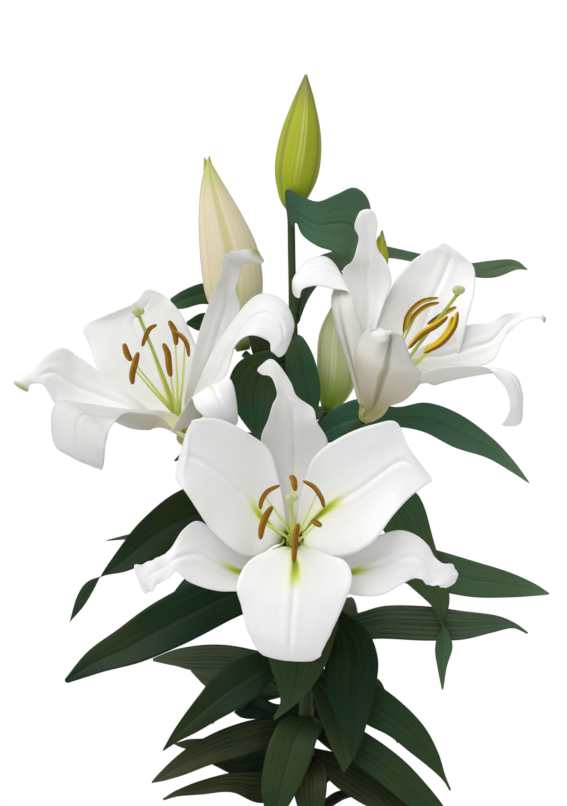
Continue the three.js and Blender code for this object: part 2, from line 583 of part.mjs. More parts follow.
// The blooms. Each sits on its stalk's end at origin and opens along axis, and all its points are
// measured from there. A tepal's rows run from the throat to the tip, each with its left edge, its
// right edge and its sag, and two more rows at its base are worked out from where it leaves it.
const BLOOMS = {
  front: {
    origin: [-9, -35, 388],
    axis: [0, -1, 0.02],
    tepals: {
      topSepal: [
        [[-6, -31, 15], [4, -31, 16], 2], [[-18, -33, 50], [19, -33, 51], 6],
        [[-22, -35, 69], [23, -35, 68], 6], [[-17, -36, 83], [16, -37, 81], 5],
        [[-14, -36, 93], [13, -36, 91], 4], [[-11, -35, 100], [2, -33, 99], 3],
        [[-13, -32, 108], [-2, -31, 108], 2], [[-16, -28, 112], [-10, -27, 120], 0],
        [[-21, -25, 113], [-16, -22, 124], -1], [[-25, -23, 116], [-23, -21, 119], 0],
      ],
      upperLeftPetal: [
        [[-13, -33, -3], [-5, -33, 15], 3], [[-28, -41, -10], [-10, -39, 42], 6],
        [[-40, -47, -5], [-16, -43, 62], 7], [[-55, -52, 9], [-29, -47, 73], 7],
        [[-64, -54, 22], [-49, -49, 83], 6], [[-72, -53, 34], [-66, -49, 83], 4],
        [[-77, -51, 40], [-70, -48, 79], 2], [[-80, -46, 46], [-74, -44, 69], 0],
      ],
      upperRightPetal: [
        [[2, -33, 15], [8, -33, -2], 3], [[8, -39, 42], [19, -41, -9], 6],
        [[16, -43, 60], [35, -47, -9], 7], [[35, -47, 73], [53, -52, 1], 7],
        [[55, -49, 80], [66, -54, 18], 6], [[69, -49, 81], [77, -53, 30], 4],
        [[77, -48, 65], [87, -51, 38], 2], [[91, -45, 46], [94, -46, 42], 0],
      ],
      leftSepal: [
        [[-12, -29, -8], [-8, -29, -1], 1], [[-28, -35, -30], [-28, -31, -10], 3],
        [[-44, -39, -33], [-46, -35, 1], 4], [[-58, -41, -31], [-63, -37, 14], 3],
        [[-71, -42, -26], [-74, -39, 9], 1], [[-79, -42, -20], [-83, -39, -4], -1],
        [[-89, -41, -27], [-94, -39, -12], 1], [[-97, -38, -33], [-106, -36, -15], -1],
        [[-100, -35, -35], [-107, -33, -22], 0],
      ],
      rightSepal: [
        [[6, -29, -2], [9, -29, -8], 1], [[27, -31, -9], [30, -35, -31], 3],
        [[45, -35, -1], [45, -39, -36], 4], [[61, -37, 6], [60, -41, -35], 3],
        [[74, -39, 8], [73, -42, -28], 1], [[87, -39, 2], [82, -42, -24], -1],
        [[97, -39, -11], [91, -41, -28], 1], [[109, -36, -17], [99, -38, -30], -1],
        [[111, -33, -22], [108, -35, -30], 0],
      ],
      bottomPetal: [
        [[6, -31, -3], [-6, -31, -3], 2], [[22, -45, -7], [-21, -45, -6], 4],
        [[35, -53, -12], [-33, -53, -16], 5], [[39, -59, -24], [-38, -59, -29], 4],
        [[34, -62, -39], [-35, -62, -41], 2], [[27, -62, -55], [-31, -62, -57], 0],
        [[21, -59, -68], [-26, -59, -67], -2], [[16, -53, -77], [-20, -53, -75], -2],
        [[9, -46, -79], [-12, -46, -77], 0],
      ],
    },
    throat: [0, -26, 0.5],
    style: [[0, -60, 10, 1.2], [-2, -95, 27, 1.2], [-2, -99, 30, 1.4]],
    stigma: [-2, -99, 31],
    anthers: [
      [[-9, -88, 40], [-17, -88, 36], [-21, -88, 30], [-22, -86, 24]],
      [[-14, -84, 26], [-18, -84, 20], [-21, -84, 12], [-22, -82, 4]],
      [[-2, -77, 46], [0, -81, 43], [1, -84, 36]],
      [[6, -88, 43], [13, -88, 39], [18, -88, 32], [20, -86, 25]],
      [[12, -82, 17], [15, -85, 15], [18, -88, 13]],
      [[3, -92, 15], [1, -94, 6], [0, -92, -11]],
    ],
  },
  left: {
    origin: [-80.4, -10, 451.6],
    axis: [-0.33, -0.4, 0.85],
    tepals: {
      backPetal: [
        [[-11, -5, 21], [-1, 1, 28], 3], [[-33, -10, 26], [6, 4, 43], 7],
        [[-53, -9, 38], [8, 5, 57], 8], [[-64, -4, 53], [5, 6, 67], 7],
        [[-70, 2, 70], [0, 8, 79], 5], [[-75, 6, 84], [-6, 10, 91], 4],
        [[-61, 9, 91], [-11, 11, 98], 3], [[-41, 11, 100], [-18, 12, 105], 1],
        [[-32, 12, 110], [-27, 12, 110], 0],
      ],
      leftSepal: [
        [[-34, -24, 21], [-35, -14, 31], 3], [[-58, -28, 24], [-59, -12, 49], 4],
        [[-78, -30, 24], [-75, -14, 61], 3], [[-91, -30, 30], [-85, -18, 68], 1],
        [[-96, -30, 37], [-95, -22, 66], 0], [[-101, -30, 43], [-107, -28, 54], -1],
        [[-109, -32, 43], [-119, -32, 48], -2], [[-110, -36, 37], [-120, -36, 43], -1],
      ],
      droopingPetal: [
        [[-4, -24, 6], [-7, -18, 19], 3], [[-20, -40, 21], [-20, -24, 25], 11],
        [[-36, -50, 23], [-37, -28, 26], 11], [[-46, -58, 22], [-54, -32, 29], 7],
        [[-52, -64, 15], [-73, -38, 30], 2], [[-54, -68, 8], [-89, -42, 31], -3],
        [[-55, -70, -1], [-93, -50, 17], -4], [[-56, -69, -9], [-89, -58, 0], -3],
        [[-57, -67, -13], [-73, -62, -7], -2], [[-58, -65, -15], [-60, -64, -13], 0],
      ],
      uprightSepal: [
        [[-4, -12, 30], [4, -14, 28], 2], [[0, -10, 52], [17, -18, 52], 3],
        [[5, -8, 73], [26, -18, 73], 4], [[8, -8, 87], [32, -18, 86], 4],
        [[13, -10, 100], [35, -18, 97], 4], [[17, -12, 109], [32, -18, 108], 3],
        [[21, -15, 117], [34, -20, 117], 2], [[23, -20, 128], [37, -24, 125], 1],
        [[26, -26, 133], [43, -28, 127], -2], [[35, -32, 135], [50, -30, 127], -2],
        [[46, -34, 136], [50, -32, 131], 0],
      ],
      archingPetal: [
        [[1, -18, 30], [7, -22, 30], 2], [[8, -18, 48], [20, -30, 43], 4],
        [[14, -18, 64], [27, -36, 56], 5], [[22, -20, 77], [32, -40, 69], 4],
        [[35, -22, 94], [39, -44, 75], 2], [[50, -24, 105], [48, -46, 76], -2],
        [[65, -30, 100], [55, -46, 72], -4], [[72, -36, 86], [56, -46, 66], -4],
        [[70, -40, 75], [58, -46, 64], -2], [[66, -44, 64], [62, -46, 61], 0],
      ],
      frontSepal: [
        [[6, -18, 23], [-2, -18, 17], 2], [[13, -26, 34], [-6, -30, 13], 4],
        [[22, -34, 44], [-11, -44, 11], 6], [[28, -42, 47], [1, -56, 34], 0],
        [[32, -48, 38], [6, -62, 26], -5], [[33, -50, 27], [16, -62, 16], -4],
        [[34, -50, 16], [27, -56, 10], 0],
      ],
    },
    throat: [-8, -10, 20],
    style: [[-18, -22, 48, 1.2], [-33, -38, 87, 1.2], [-35, -40, 90, 1.4]],
    stigma: [-35, -40, 92],
    anthers: [
      [[-44, -44, 71], [-42, -44, 64], [-39, -44, 59]],
      [[-34, -50, 65], [-36, -50, 58], [-38, -50, 50], [-38, -48, 43]],
      [[-22, -34, 84], [-27, -34, 81], [-30, -34, 75], [-32, -33, 69]],
      [[-17, -52, 71], [-14, -52, 64], [-13, -52, 55], [-12, -50, 48]],
      [[-14, -28, 87], [-10, -28, 79], [-9, -28, 70]],
      [[-12, -40, 80], [-5, -40, 76], [-1, -40, 70], [0, -39, 62]],
    ],
  },
  right: {
    origin: [39.2, -22, 470],
    axis: [0.56, -0.3, 0.77],
    tepals: {
      uprightSepal: [
        [[-1, 4, 49], [6, 4, 49], 3], [[-7, 6, 79], [16, 8, 84], 5],
        [[-14, 6, 102], [20, 7, 96], 5], [[-7, 4, 111], [17, 5, 109], 3],
        [[-4, 2, 120], [11, 3, 118], 2], [[-3, 0, 127], [9, 1, 126], 1],
        [[-6, -2, 134], [10, -2, 136], 0], [[-3, -4, 143], [8, -4, 143], -1],
        [[1, -5, 146], [5, -5, 146], 0],
      ],
      leftPetal: [
        [[3, -10, 14], [-4, -6, 15], 2], [[3, -16, 35], [-12, -6, 42], 4],
        [[0, -18, 55], [-19, -6, 65], 5], [[-5, -18, 74], [-21, -4, 83], 4],
        [[-9, -16, 88], [-17, 6, 102], 0], [[-22, -14, 91], [-25, 10, 113], -3],
        [[-34, -12, 92], [-39, 8, 111], -4], [[-42, -12, 90], [-48, 2, 99], -3],
        [[-44, -12, 83], [-49, -6, 87], 0],
      ],
      funnelPetal: [
        [[16, -14, 11], [-2, -12, 13], 3], [[28, -24, 17], [-4, -16, 26], 9],
        [[37, -32, 24], [-6, -22, 40], 13], [[39, -36, 32], [-5, -28, 51], 14],
        [[33, -40, 40], [-1, -32, 59], 11], [[28, -44, 50], [4, -36, 62], 7],
        [[22, -48, 59], [10, -42, 63], 2], [[17, -54, 58], [5, -50, 60], -2],
        [[14, -56, 53], [7, -55, 53], 0],
      ],
      widePetal: [
        [[9, 6, 47], [35, -3, 35], 4], [[5, 8, 64], [53, -3, 36], 8],
        [[15, 11, 82], [66, 0, 46], 9], [[24, 12, 99], [73, 4, 71], 7],
        [[34, 16, 110], [78, 10, 91], 5], [[43, 18, 117], [78, 14, 106], 3],
        [[52, 18, 121], [71, 16, 114], 1], [[57, 18, 124], [61, 18, 122], 0],
      ],
      narrowSepal: [
        [[34, -4, 46], [38, -10, 36], 2], [[54, 2, 56], [60, -8, 36], 3],
        [[72, 6, 66], [79, -6, 37], 3], [[87, 8, 68], [91, -2, 43], 2],
        [[98, 8, 73], [98, 2, 57], 1], [[106, 8, 75], [106, 4, 66], 1],
        [[115, 6, 74], [113, 4, 70], 0], [[123, 4, 74], [122, 3, 71], 0],
        [[127, 0, 71], [126, 0, 67], 0],
      ],
      lowerPetal: [
        [[31, -12, 40], [25, -26, 15], 3], [[46, -14, 39], [41, -40, 34], 12],
        [[63, -16, 39], [58, -46, 36], 9], [[78, -18, 37], [75, -48, 36], 5],
        [[93, -22, 34], [85, -48, 34], 1], [[104, -26, 30], [92, -46, 28], -2],
        [[108, -30, 19], [97, -44, 19], -3], [[108, -32, 9], [98, -42, 9], -3],
        [[106, -32, -2], [96, -38, 1], -2], [[98, -33, -4], [93, -35, -3], 0],
      ],
    },
    throat: [13, -7, 18],
    style: [[34, -18, 47, 1.2], [62, -28, 84, 1.2], [64, -29, 86, 1.4]],
    stigma: [64, -30, 88],
    anthers: [
      [[51, -24, 84], [39, -28, 81], [30, -28, 72], [27, -24, 60]],
      [[52, -18, 81], [42, -20, 78], [33, -20, 70], [28, -18, 61]],
      [[64, -14, 78], [58, -16, 75], [50, -16, 70], [44, -14, 66]],
      [[57, -32, 71], [49, -34, 65], [39, -34, 59], [30, -30, 49]],
      [[63, -42, 74], [60, -44, 63], [52, -44, 53], [40, -40, 46]],
      [[60, -36, 71], [57, -38, 61], [49, -38, 52], [41, -34, 48]],
    ],
  },
};

const BASE_RADIUS = 5.5;
const BASE_LENGTH = 9;
const ROOT_WIDTH = 8;
const CLAW_WIDTH = 14;
const CLAW_HEIGHT = 16;
const EDGE_WAVE = 1.1;

function tepalGeometry(axis, edgeRows, number) {
  // The first two rows stand round the base, on the side that the tepal leaves it.
  const first = vector(edgeRows[0][0]).add(vector(edgeRows[0][1])).multiplyScalar(0.5);
  const height = first.dot(axis);
  const outward = first.addScaledVector(axis, -height).normalize();
  const across = outward.clone().cross(axis);
  const rootRow = (distance, reach, width) => {
    const centre = axis.clone().multiplyScalar(distance).addScaledVector(outward, reach);
    const edge = across.clone().multiplyScalar(width / 2);
    return [centre.clone().sub(edge).toArray(), centre.clone().add(edge).toArray(), 0.5];
  };
  const root = rootRow(3, BASE_RADIUS - 1.5, ROOT_WIDTH);
  const claw = rootRow(Math.min(CLAW_HEIGHT, 0.6 * height), BASE_RADIUS + 3, CLAW_WIDTH);
  const rows = [root, claw, ...edgeRows];
  const liftAt = ({ sag, t }, s) => {
    const wave = Math.sin(2 * Math.PI * 2.6 * t + number + (s > 0 ? 1.9 : 0));
    return EDGE_WAVE * wave * s * s * Math.sin(Math.PI * t) - sag * (1 - s * s);
  };
  const sections = edgeSections(rows, rows.length - 1);
  return sheetGeometry(sections, { strips: 4, thickness: TEPAL_THICKNESS, liftAt });
}

function bloomGeometry({ axis, tepals }) {
  const direction = vector(axis).normalize();
  const along = (distance, radius) => [...direction.clone().multiplyScalar(distance).toArray(), radius];
  const base = rodGeometry([along(0, 3.4), along(4, 5.6), along(BASE_LENGTH, 4.6)], { steps: 2, sides: 8 });
  const shapes = Object.values(tepals).map((tepal, number) => tepalGeometry(direction, tepal, number));
  return fused([base, ...shapes]);
}

function stamensGeometry({ axis, throat, style, stigma, anthers }) {
  // Everything stands on the middle of the bloom's base, a hair's breadth off it.
  const root = vector(axis).setLength(BASE_LENGTH + 1.3 * SEAT_GAP).toArray();
  const pistil = [[...root, 3], [...throat, 2.6], ...style];
  const pieces = [rodGeometry(pistil, { steps: 6, sides: 5 })];
  const knob = new THREE.SphereGeometry(4.4, 7, 4);
  knob.scale(1, 1, 0.75);
  knob.translate(...stigma);
  pieces.push(knob);
  for (const points of anthers) {
    const middle = rowAt(points, 0.5);
    const seat = middle.map((value, k) => throat[k] + 0.55 * (value - throat[k]));
    const filament = [[...root, 1], [...throat, 1], [...seat, 0.9], [...middle, 0.7]];
    pieces.push(rodGeometry(filament, { steps: 4, sides: 3 }));
    const anther = points.map((point, k) => [...point, k % (points.length - 1) === 0 ? 1.3 : 2.1]);
    pieces.push(rodGeometry(anther, { steps: 4, sides: 5 }));
  }
  return fused(pieces);
}

// The buds: each row [x, y, z, radius] from the base to the tip
const BUDS = {
  bud_top: {
    rows: [
      [-10.5, 0, 617, 3.6], [-9.5, 0, 624, 9], [-7, 0, 640, 14.6], [-5, 0, 655, 15.6],
      [-3, 0, 673, 13.4], [-1.2, 0, 694, 7.4], [0, 0, 712, 0.8],
    ],
    color: BUD_GREEN,
  },
  bud_cream: {
    rows: [
      [-44, 14, 519, 4.6], [-47.5, 14, 536, 12], [-50.5, 14, 560, 20], [-54, 14, 585, 20.5],
      [-60, 14, 609, 16], [-66, 14, 634, 8.6], [-69, 14, 654, 0.8],
    ],
    color: BUD_CREAM,
  },
  bud_right: {
    rows: [
      [15, 8, 476, 3.6], [17.5, 8, 484, 8.6], [21, 8, 497, 13], [21.7, 8, 512, 14],
      [22, 8, 530, 12.6], [24.5, 8, 547, 7.6], [27, 8, 563, 0.8],
    ],
    color: BUD_PALE,
  },
  bud_small: {
    rows: [[52, 20, 571.5, 2], [53, 20, 581, 4.4], [53.5, 20, 593, 3.4], [54, 20, 604, 0.6]],
    color: BUD_GREEN,
  },
};

function budGeometry(rows) {
  return rodGeometry(rows, { steps: 9, sides: 12, lobes: 3, depth: 0.05 });
}

// The whole plant in its pot
const lily = new THREE.Group();
lily.add(node("pot", potGeometry(), TERRACOTTA, 0.9));
lily.add(node("soil", soilGeometry(), SOIL, 1));
lily.add(node("leafy_stem", leafyStemGeometry(), LEAF_GREEN, 0.55));
for (const [name, bloom] of Object.entries(BLOOMS)) {
  const place = new THREE.Group();
  place.position.set(...bloom.origin);
  place.add(node(`bloom_${name}`, bloomGeometry(bloom), TEPAL_WHITE, 0.6));
  place.add(node(`stamens_${name}`, stamensGeometry(bloom), FILAMENT_GREEN, 0.6));
  lily.add(place);
}
for (const [name, { rows, color }] of Object.entries(BUDS)) {
  lily.add(node(name, budGeometry(rows), color, 0.6));
}

export default lily;
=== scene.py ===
# A potted oriental lily: three white blooms, four buds and one leafy stem in a clay pot.
# The lists are in millimetres, +Z up, with the origin at the middle of the pot's underside.
import math
from functools import reduce

import bmesh
import bpy
import numpy as np
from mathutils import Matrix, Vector, noise
from mathutils.geometry import tessellate_polygon


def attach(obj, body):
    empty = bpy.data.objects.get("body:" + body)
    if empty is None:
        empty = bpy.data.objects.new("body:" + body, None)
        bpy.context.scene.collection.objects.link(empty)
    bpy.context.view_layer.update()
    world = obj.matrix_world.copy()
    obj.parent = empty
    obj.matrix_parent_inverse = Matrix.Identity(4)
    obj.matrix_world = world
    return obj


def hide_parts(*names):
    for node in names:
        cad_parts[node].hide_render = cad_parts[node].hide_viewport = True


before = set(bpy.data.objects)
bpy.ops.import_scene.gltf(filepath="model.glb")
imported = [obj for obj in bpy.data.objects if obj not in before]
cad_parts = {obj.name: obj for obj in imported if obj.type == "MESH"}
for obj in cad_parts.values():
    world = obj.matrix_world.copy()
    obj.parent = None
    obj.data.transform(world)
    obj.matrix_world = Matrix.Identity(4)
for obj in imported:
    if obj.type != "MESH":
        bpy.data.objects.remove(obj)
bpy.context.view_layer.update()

# Driving dimensions
MM = 0.001
POT_HEIGHT = 148
POT_TOP_RADIUS = 84
POT_FOOT_RADIUS = 56
POT_WALL = 7
POT_FLOOR = 12
RIM_HEIGHT = 26
RIM_STEP = 5
DRAIN_RADIUS = 6
DRAIN_CIRCLE = 28
SOIL_TOP = 133
STEM_RADIUS = 6.5
STEM_FOOT = 75
STEM_TOP = 616
SEAT_GAP = 0.3
LEAF_THICKNESS = 0.7
TEPAL_THICKNESS = 0.9
BASE_RADIUS = 5.5
BASE_LENGTH = 9

# Directions that the upper side of a blade looks in
UP = (0, 0, 1)
FRONT = (0, -1, 0)
FRONT_UP = (0, -0.7, 0.7)
MOSTLY_FRONT = (0, -0.95, 0.3)
MOSTLY_UP = (0, -0.5, 0.87)

# The stem and the stalks that leave it, each row (x, y, z, radius)
MAIN_STEM = [
    (0, 0, STEM_FOOT, STEM_RADIUS),
    (0, 0, 150, 6.2),
    (0, 0, 274, 5),
    (-3, 0, 400, 4.3),
    (-8, 0, 500, 3.5),
    (-9.5, 0, 560, 2.7),
    (-10.5, 0, 616, 2.5),
]

STALKS = [
    [(-1, 0, 345, 3), (-5, -14, 370, 2.8), (-9, -33.4, 386.4, 2.8)],
    [(-4, 0, 425, 3), (-40, -4, 438, 2.8), (-79, -10, 449, 2.8)],
    [(-4, 0, 440, 3), (16, -12, 450, 2.8), (38.6, -21.7, 469.1, 2.8)],
    [(-7, 0, 488, 2.8), (-24, 8, 500, 2.6), (-43.5, 14, 517, 2.6)],
    [(-4, 0, 448, 2.6), (6, 4, 462, 2.3), (14.5, 8, 474.5, 2.3)],
    [(-9, 0, 545, 2.2), (-3, 8, 566, 2), (14, 14, 577, 1.8), (34, 18, 569, 1.7), (51.5, 20, 569.8, 1.6)],
]

# Leaves seen in the photo, each with rows from foot to tip: (x, y, z) of one edge, then of the other
EDGE_LEAVES = {
    "big_left": [
        (0, -2, 363, 0, -2, 372), (-25, -14, 344, -39, -10, 369), (-53, -24, 331, -70, -16, 361),
        (-85, -32, 315, -103, -22, 344), (-114, -36, 303, -130, -26, 325), (-142, -36, 296, -151, -30, 310),
        (-165, -34, 289, -167, -34, 291),
    ],
    "left_twisted": [
        (-1, -2, 421, -1, -2, 430), (-31, -8, 406, -39, -4, 430), (-61, -12, 390, -70, -8, 427),
        (-89, -16, 381, -93, -10, 418), (-108, -18, 372, -114, -12, 400), (-124, -18, 365, -130, -12, 380),
        (-139, -14, 362, -141, -12, 365), (-152, -8, 358, -148, -12, 352), (-160, -6, 347, -155, -10, 341),
        (-165, -8, 329, -165, -8, 329),
    ],
    "left_level": [
        (0, 2, 296, 0, 2, 303), (-25, 10, 293, -31, 6, 308), (-55, 14, 293, -57, 8, 313),
        (-78, 16, 294, -82, 10, 311), (-94, 16, 297, -97, 12, 307), (-108, 14, 300, -108, 14, 302),
    ],
    "left_small_tip": [
        (0, 3, 281, 0, 3, 289), (-31, 20, 271, -36, 14, 291), (-57, 26, 270, -57, 20, 293),
        (-71, 28, 281, -71, 24, 294), (-81, 28, 291, -82, 28, 292),
    ],
    "left_lower": [
        (0, -3, 302, -1, -3, 312), (-21, -22, 292, -31, -20, 309), (-33, -28, 280, -49, -24, 304),
        (-47, -31, 271, -63, -27, 294), (-62, -33, 263, -72, -29, 283), (-76, -34, 255, -81, -31, 271),
        (-88, -33, 249, -91, -32, 257), (-99, -32, 242, -99, -32, 243),
    ],
    "left_dark_behind": [
        (0, 2, 265, 0, 2, 274), (-20, 10, 258, -21, 6, 271), (-34, 14, 259, -34, 10, 277),
        (-44, 16, 260, -43, 12, 270), (-50, 16, 263, -51, 16, 264),
    ],
    "left_second_lowest": [
        (0, -2, 248, 0, -2, 259), (-24, -14, 243, -31, -10, 262), (-46, -20, 237, -54, -16, 257),
        (-65, -24, 232, -74, -20, 248), (-84, -26, 225, -89, -23, 238), (-98, -25, 221, -101, -25, 227),
        (-107, -24, 219, -107, -24, 220),
    ],
    "left_dark_low": [
        (0, 2, 225, 0, 2, 237), (-31, 10, 223, -31, 6, 240), (-51, 14, 221, -49, 12, 234),
        (-66, 14, 227, -66, 14, 228),
    ],
    "left_low_tip": [
        (0, 2, 249, 0, 2, 258), (-39, 18, 238, -39, 16, 248), (-71, 22, 236, -71, 20, 245),
        (-85, 24, 237, -83, 22, 244), (-93, 24, 240, -93, 24, 241),
    ],
    "left_lowest": [
        (0, -2, 210, 0, -2, 222), (-31, -8, 203, -34, -6, 225), (-52, -14, 211, -54, -10, 224),
        (-72, -16, 210, -75, -14, 219), (-88, -17, 209, -90, -16, 213), (-99, -16, 206, -100, -16, 207),
    ],
    "front_bright": [
        (3, -3, 351, -4, -3, 351), (18, -34, 344, -15, -34, 346), (22, -44, 332, -25, -44, 332),
        (19, -50, 320, -28, -50, 317), (14, -54, 306, -25, -54, 304), (4, -54, 289, -20, -54, 289),
        (-7, -51, 277, -18, -51, 278), (-22, -48, 265, -23, -48, 267),
    ],
    "front_dark": [
        (4, -2, 350, -1, -2, 344), (22, -22, 340, 11, -20, 330), (41, -32, 327, 16, -30, 313),
        (49, -38, 308, 13, -36, 303), (48, -42, 289, 13, -40, 286), (43, -42, 268, 21, -41, 267),
        (38, -39, 251, 27, -39, 251), (33, -36, 237, 32, -36, 236),
    ],
    "right_level": [
        (1, -2, 334, 1, -2, 323), (32, -8, 335, 32, -8, 317), (55, -12, 341, 54, -12, 318),
        (83, -16, 341, 83, -16, 317), (108, -19, 338, 108, -19, 318), (131, -21, 335, 129, -22, 323),
        (144, -22, 330, 143, -22, 326), (154, -22, 323, 153, -22, 322),
    ],
    "right_twisted": [
        (0, -1, 423, 0, -1, 414), (32, -8, 431, 28, -12, 409), (60, -12, 428, 48, -18, 399),
        (78, -14, 417, 59, -22, 384), (88, -16, 387, 67, -24, 365), (95, -20, 363, 75, -24, 353),
        (99, -22, 348, 86, -24, 342), (96, -18, 333, 92, -26, 332), (91, -20, 322, 98, -24, 324),
        (89, -19, 311, 101, -24, 313), (91, -19, 298, 97, -23, 299), (94, -20, 283, 95, -20, 283),
    ],
    "right_long": [
        (1, -2, 389, 1, -2, 378), (38, -4, 390, 35, -6, 368), (69, -8, 385, 67, -10, 357),
        (93, -11, 379, 93, -13, 351), (117, -14, 372, 117, -15, 347), (140, -16, 365, 142, -16, 347),
        (158, -16, 357, 158, -16, 348), (169, -16, 350, 169, -16, 349),
    ],
    "right_lower": [
        (2, -2, 297, 1, -2, 285), (30, -14, 295, 23, -16, 272), (51, -20, 286, 41, -20, 260),
        (68, -23, 273, 57, -24, 252), (82, -26, 258, 70, -26, 242), (91, -27, 241, 84, -27, 231),
        (96, -28, 225, 94, -28, 222), (100, -28, 215, 99, -28, 214),
    ],
    "right_lowest": [
        (2, -2, 263, 1, -2, 253), (27, -10, 260, 19, -12, 239), (48, -16, 249, 35, -17, 231),
        (68, -19, 234, 53, -20, 217), (84, -20, 217, 70, -21, 203), (95, -20, 203, 86, -21, 192),
        (101, -20, 192, 98, -20, 185), (105, -18, 179, 105, -18, 178),
    ],
    "front_hanging": [
        (4, -3, 263, -4, -3, 263), (11, -20, 257, -17, -20, 261), (7, -28, 248, -25, -28, 249),
        (2, -32, 233, -29, -32, 235), (-4, -34, 220, -31, -34, 218), (-11, -32, 207, -29, -32, 204),
        (-21, -28, 191, -24, -28, 191),
    ],
    "upper_left": [
        (-4, -1, 539, -4, -1, 546), (-31, 31, 545, -31, 30, 558), (-58, 44, 550, -55, 42, 567),
        (-73, 47, 553, -73, 45, 568), (-86, 47, 550, -87, 45, 563), (-93, 46, 549, -98, 46, 556),
    ],
    "upper_left_low": [
        (-4, -1, 518, -4, -1, 523), (-40, 34, 524, -40, 33, 535), (-65, 40, 533, -65, 38, 545),
        (-77, 40, 534, -75, 38, 546), (-85, 38, 538, -85, 38, 540),
    ],
    "centre_left": [
        (-6, -2, 508, -6, -2, 515), (-15, -8, 499, -25, -8, 519), (-19, -13, 490, -46, -12, 511),
        (-19, -15, 483, -54, -15, 495), (-22, -16, 472, -50, -16, 479), (-28, -15, 461, -40, -15, 464),
        (-31, -14, 457, -33, -14, 457),
    ],
    "centre_right": [
        (-7, -2, 530, -11, -2, 529), (-1, -9, 526, -14, -9, 522), (6, -13, 512, -14, -13, 504),
        (10, -15, 492, -8, -15, 487), (8, -14, 477, -2, -14, 474), (5, -13, 467, 5, -13, 467),
    ],
    "upper_right": [
        (-2, -1, 456, -2, -1, 448), (17, -6, 476, 22, -6, 456), (38, -6, 485, 42, -8, 460),
        (62, -8, 479, 60, -10, 465), (84, -10, 482, 81, -12, 462), (107, -12, 474, 103, -14, 451),
        (129, -14, 458, 125, -15, 444), (144, -15, 442, 141, -16, 435), (155, -16, 427, 155, -16, 426),
    ],
}

# Leaves along a spine, with the directions that their upper side looks in from foot to tip
SPINE_LEAVES = {
    "left_behind": {
        "spine": [(-3, 0, 408), (-45, 18, 404), (-90, 28, 392), (-142, 34, 384)],
        "width": 22,
        "faces": [MOSTLY_UP],
    },
    "right_brownish": {
        "spine": [(0, 0, 238), (30, -4, 221), (59, -8, 202), (90, -10, 176)],
        "width": 29,
        "faces": [FRONT_UP],
    },
    "front_bluish": {
        "spine": [(0, 0, 290), (12, -18, 282), (20, -26, 262), (26, -26, 240), (26, -22, 226)],
        "width": 20,
        "faces": [UP, FRONT_UP, FRONT],
    },
    "front_folded": {
        "spine": [(0, 0, 235), (2, -20, 226), (3, -28, 206), (5, -26, 182)],
        "width": 24,
        "faces": [UP, FRONT_UP, FRONT],
    },
    "upper_right_long": {
        "spine": [
            (-9, 0, 538), (-3, 12, 560), (10, 24, 577), (27, 34, 583), (52, 39, 588),
            (80, 42, 584), (108, 42, 577), (131, 39, 577), (148, 36, 580), (158, 34, 577),
        ],
        "width": 24,
        "faces": [FRONT, FRONT_UP, FRONT_UP, (0, -0.35, 0.93), (0, -0.35, 0.93), MOSTLY_FRONT, MOSTLY_FRONT],
    },
    "centre_rising": {
        "spine": [(-5, 0, 490), (-17, -4, 504), (-30, -6, 517), (-40, -6, 530)],
        "width": 18,
        "faces": [MOSTLY_FRONT],
    },
    "left_dark_tip": {
        "spine": [(-4, 0, 445), (-45, 14, 455), (-75, 18, 450), (-93, 18, 441)],
        "width": 16,
        "faces": [(0, -0.8, 0.6)],
    },
}

# Guessed leaves behind and at the foot, each (angle from east, height, length, drop of the tip)
BACK_LEAVES = [
    (150, 352, 120, 20), (103, 335, 130, 30), (72, 318, 130, 34), (32, 345, 120, 18),
    (130, 272, 105, 24), (88, 250, 130, 34), (50, 268, 105, 34), (105, 228, 125, 30),
    (66, 205, 130, 26), (128, 400, 115, 20), (92, 385, 135, 34), (56, 405, 115, 22),
    (105, 440, 115, 10), (70, 460, 120, 14),
]

FOOT_LEAVES = [
    (200, 182, 95, 12), (335, 180, 95, 12), (268, 176, 80, 10),
    (25, 190, 100, 20), (115, 166, 95, 14), (160, 172, 95, 18),
]

# The small leaf under the top bud: both edges, then how far its middle sags below them
BRACT = [
    (-13, -1, 611, -10, -1, 603, 0), (-14, -14, 630, -7, -14, 607, 1), (-4, -16, 626, -2, -14, 598, 2),
    (8, -16, 622, 8, -14, 591, 3), (21, -14, 627, 17, -12, 588, 3), (33, -11, 632, 25, -10, 584, 3),
    (42, -8, 626, 29, -8, 581, 2), (45, -6, 613, 32, -7, 580, 1), (38, -6, 594, 33, -7, 580, 0),
]

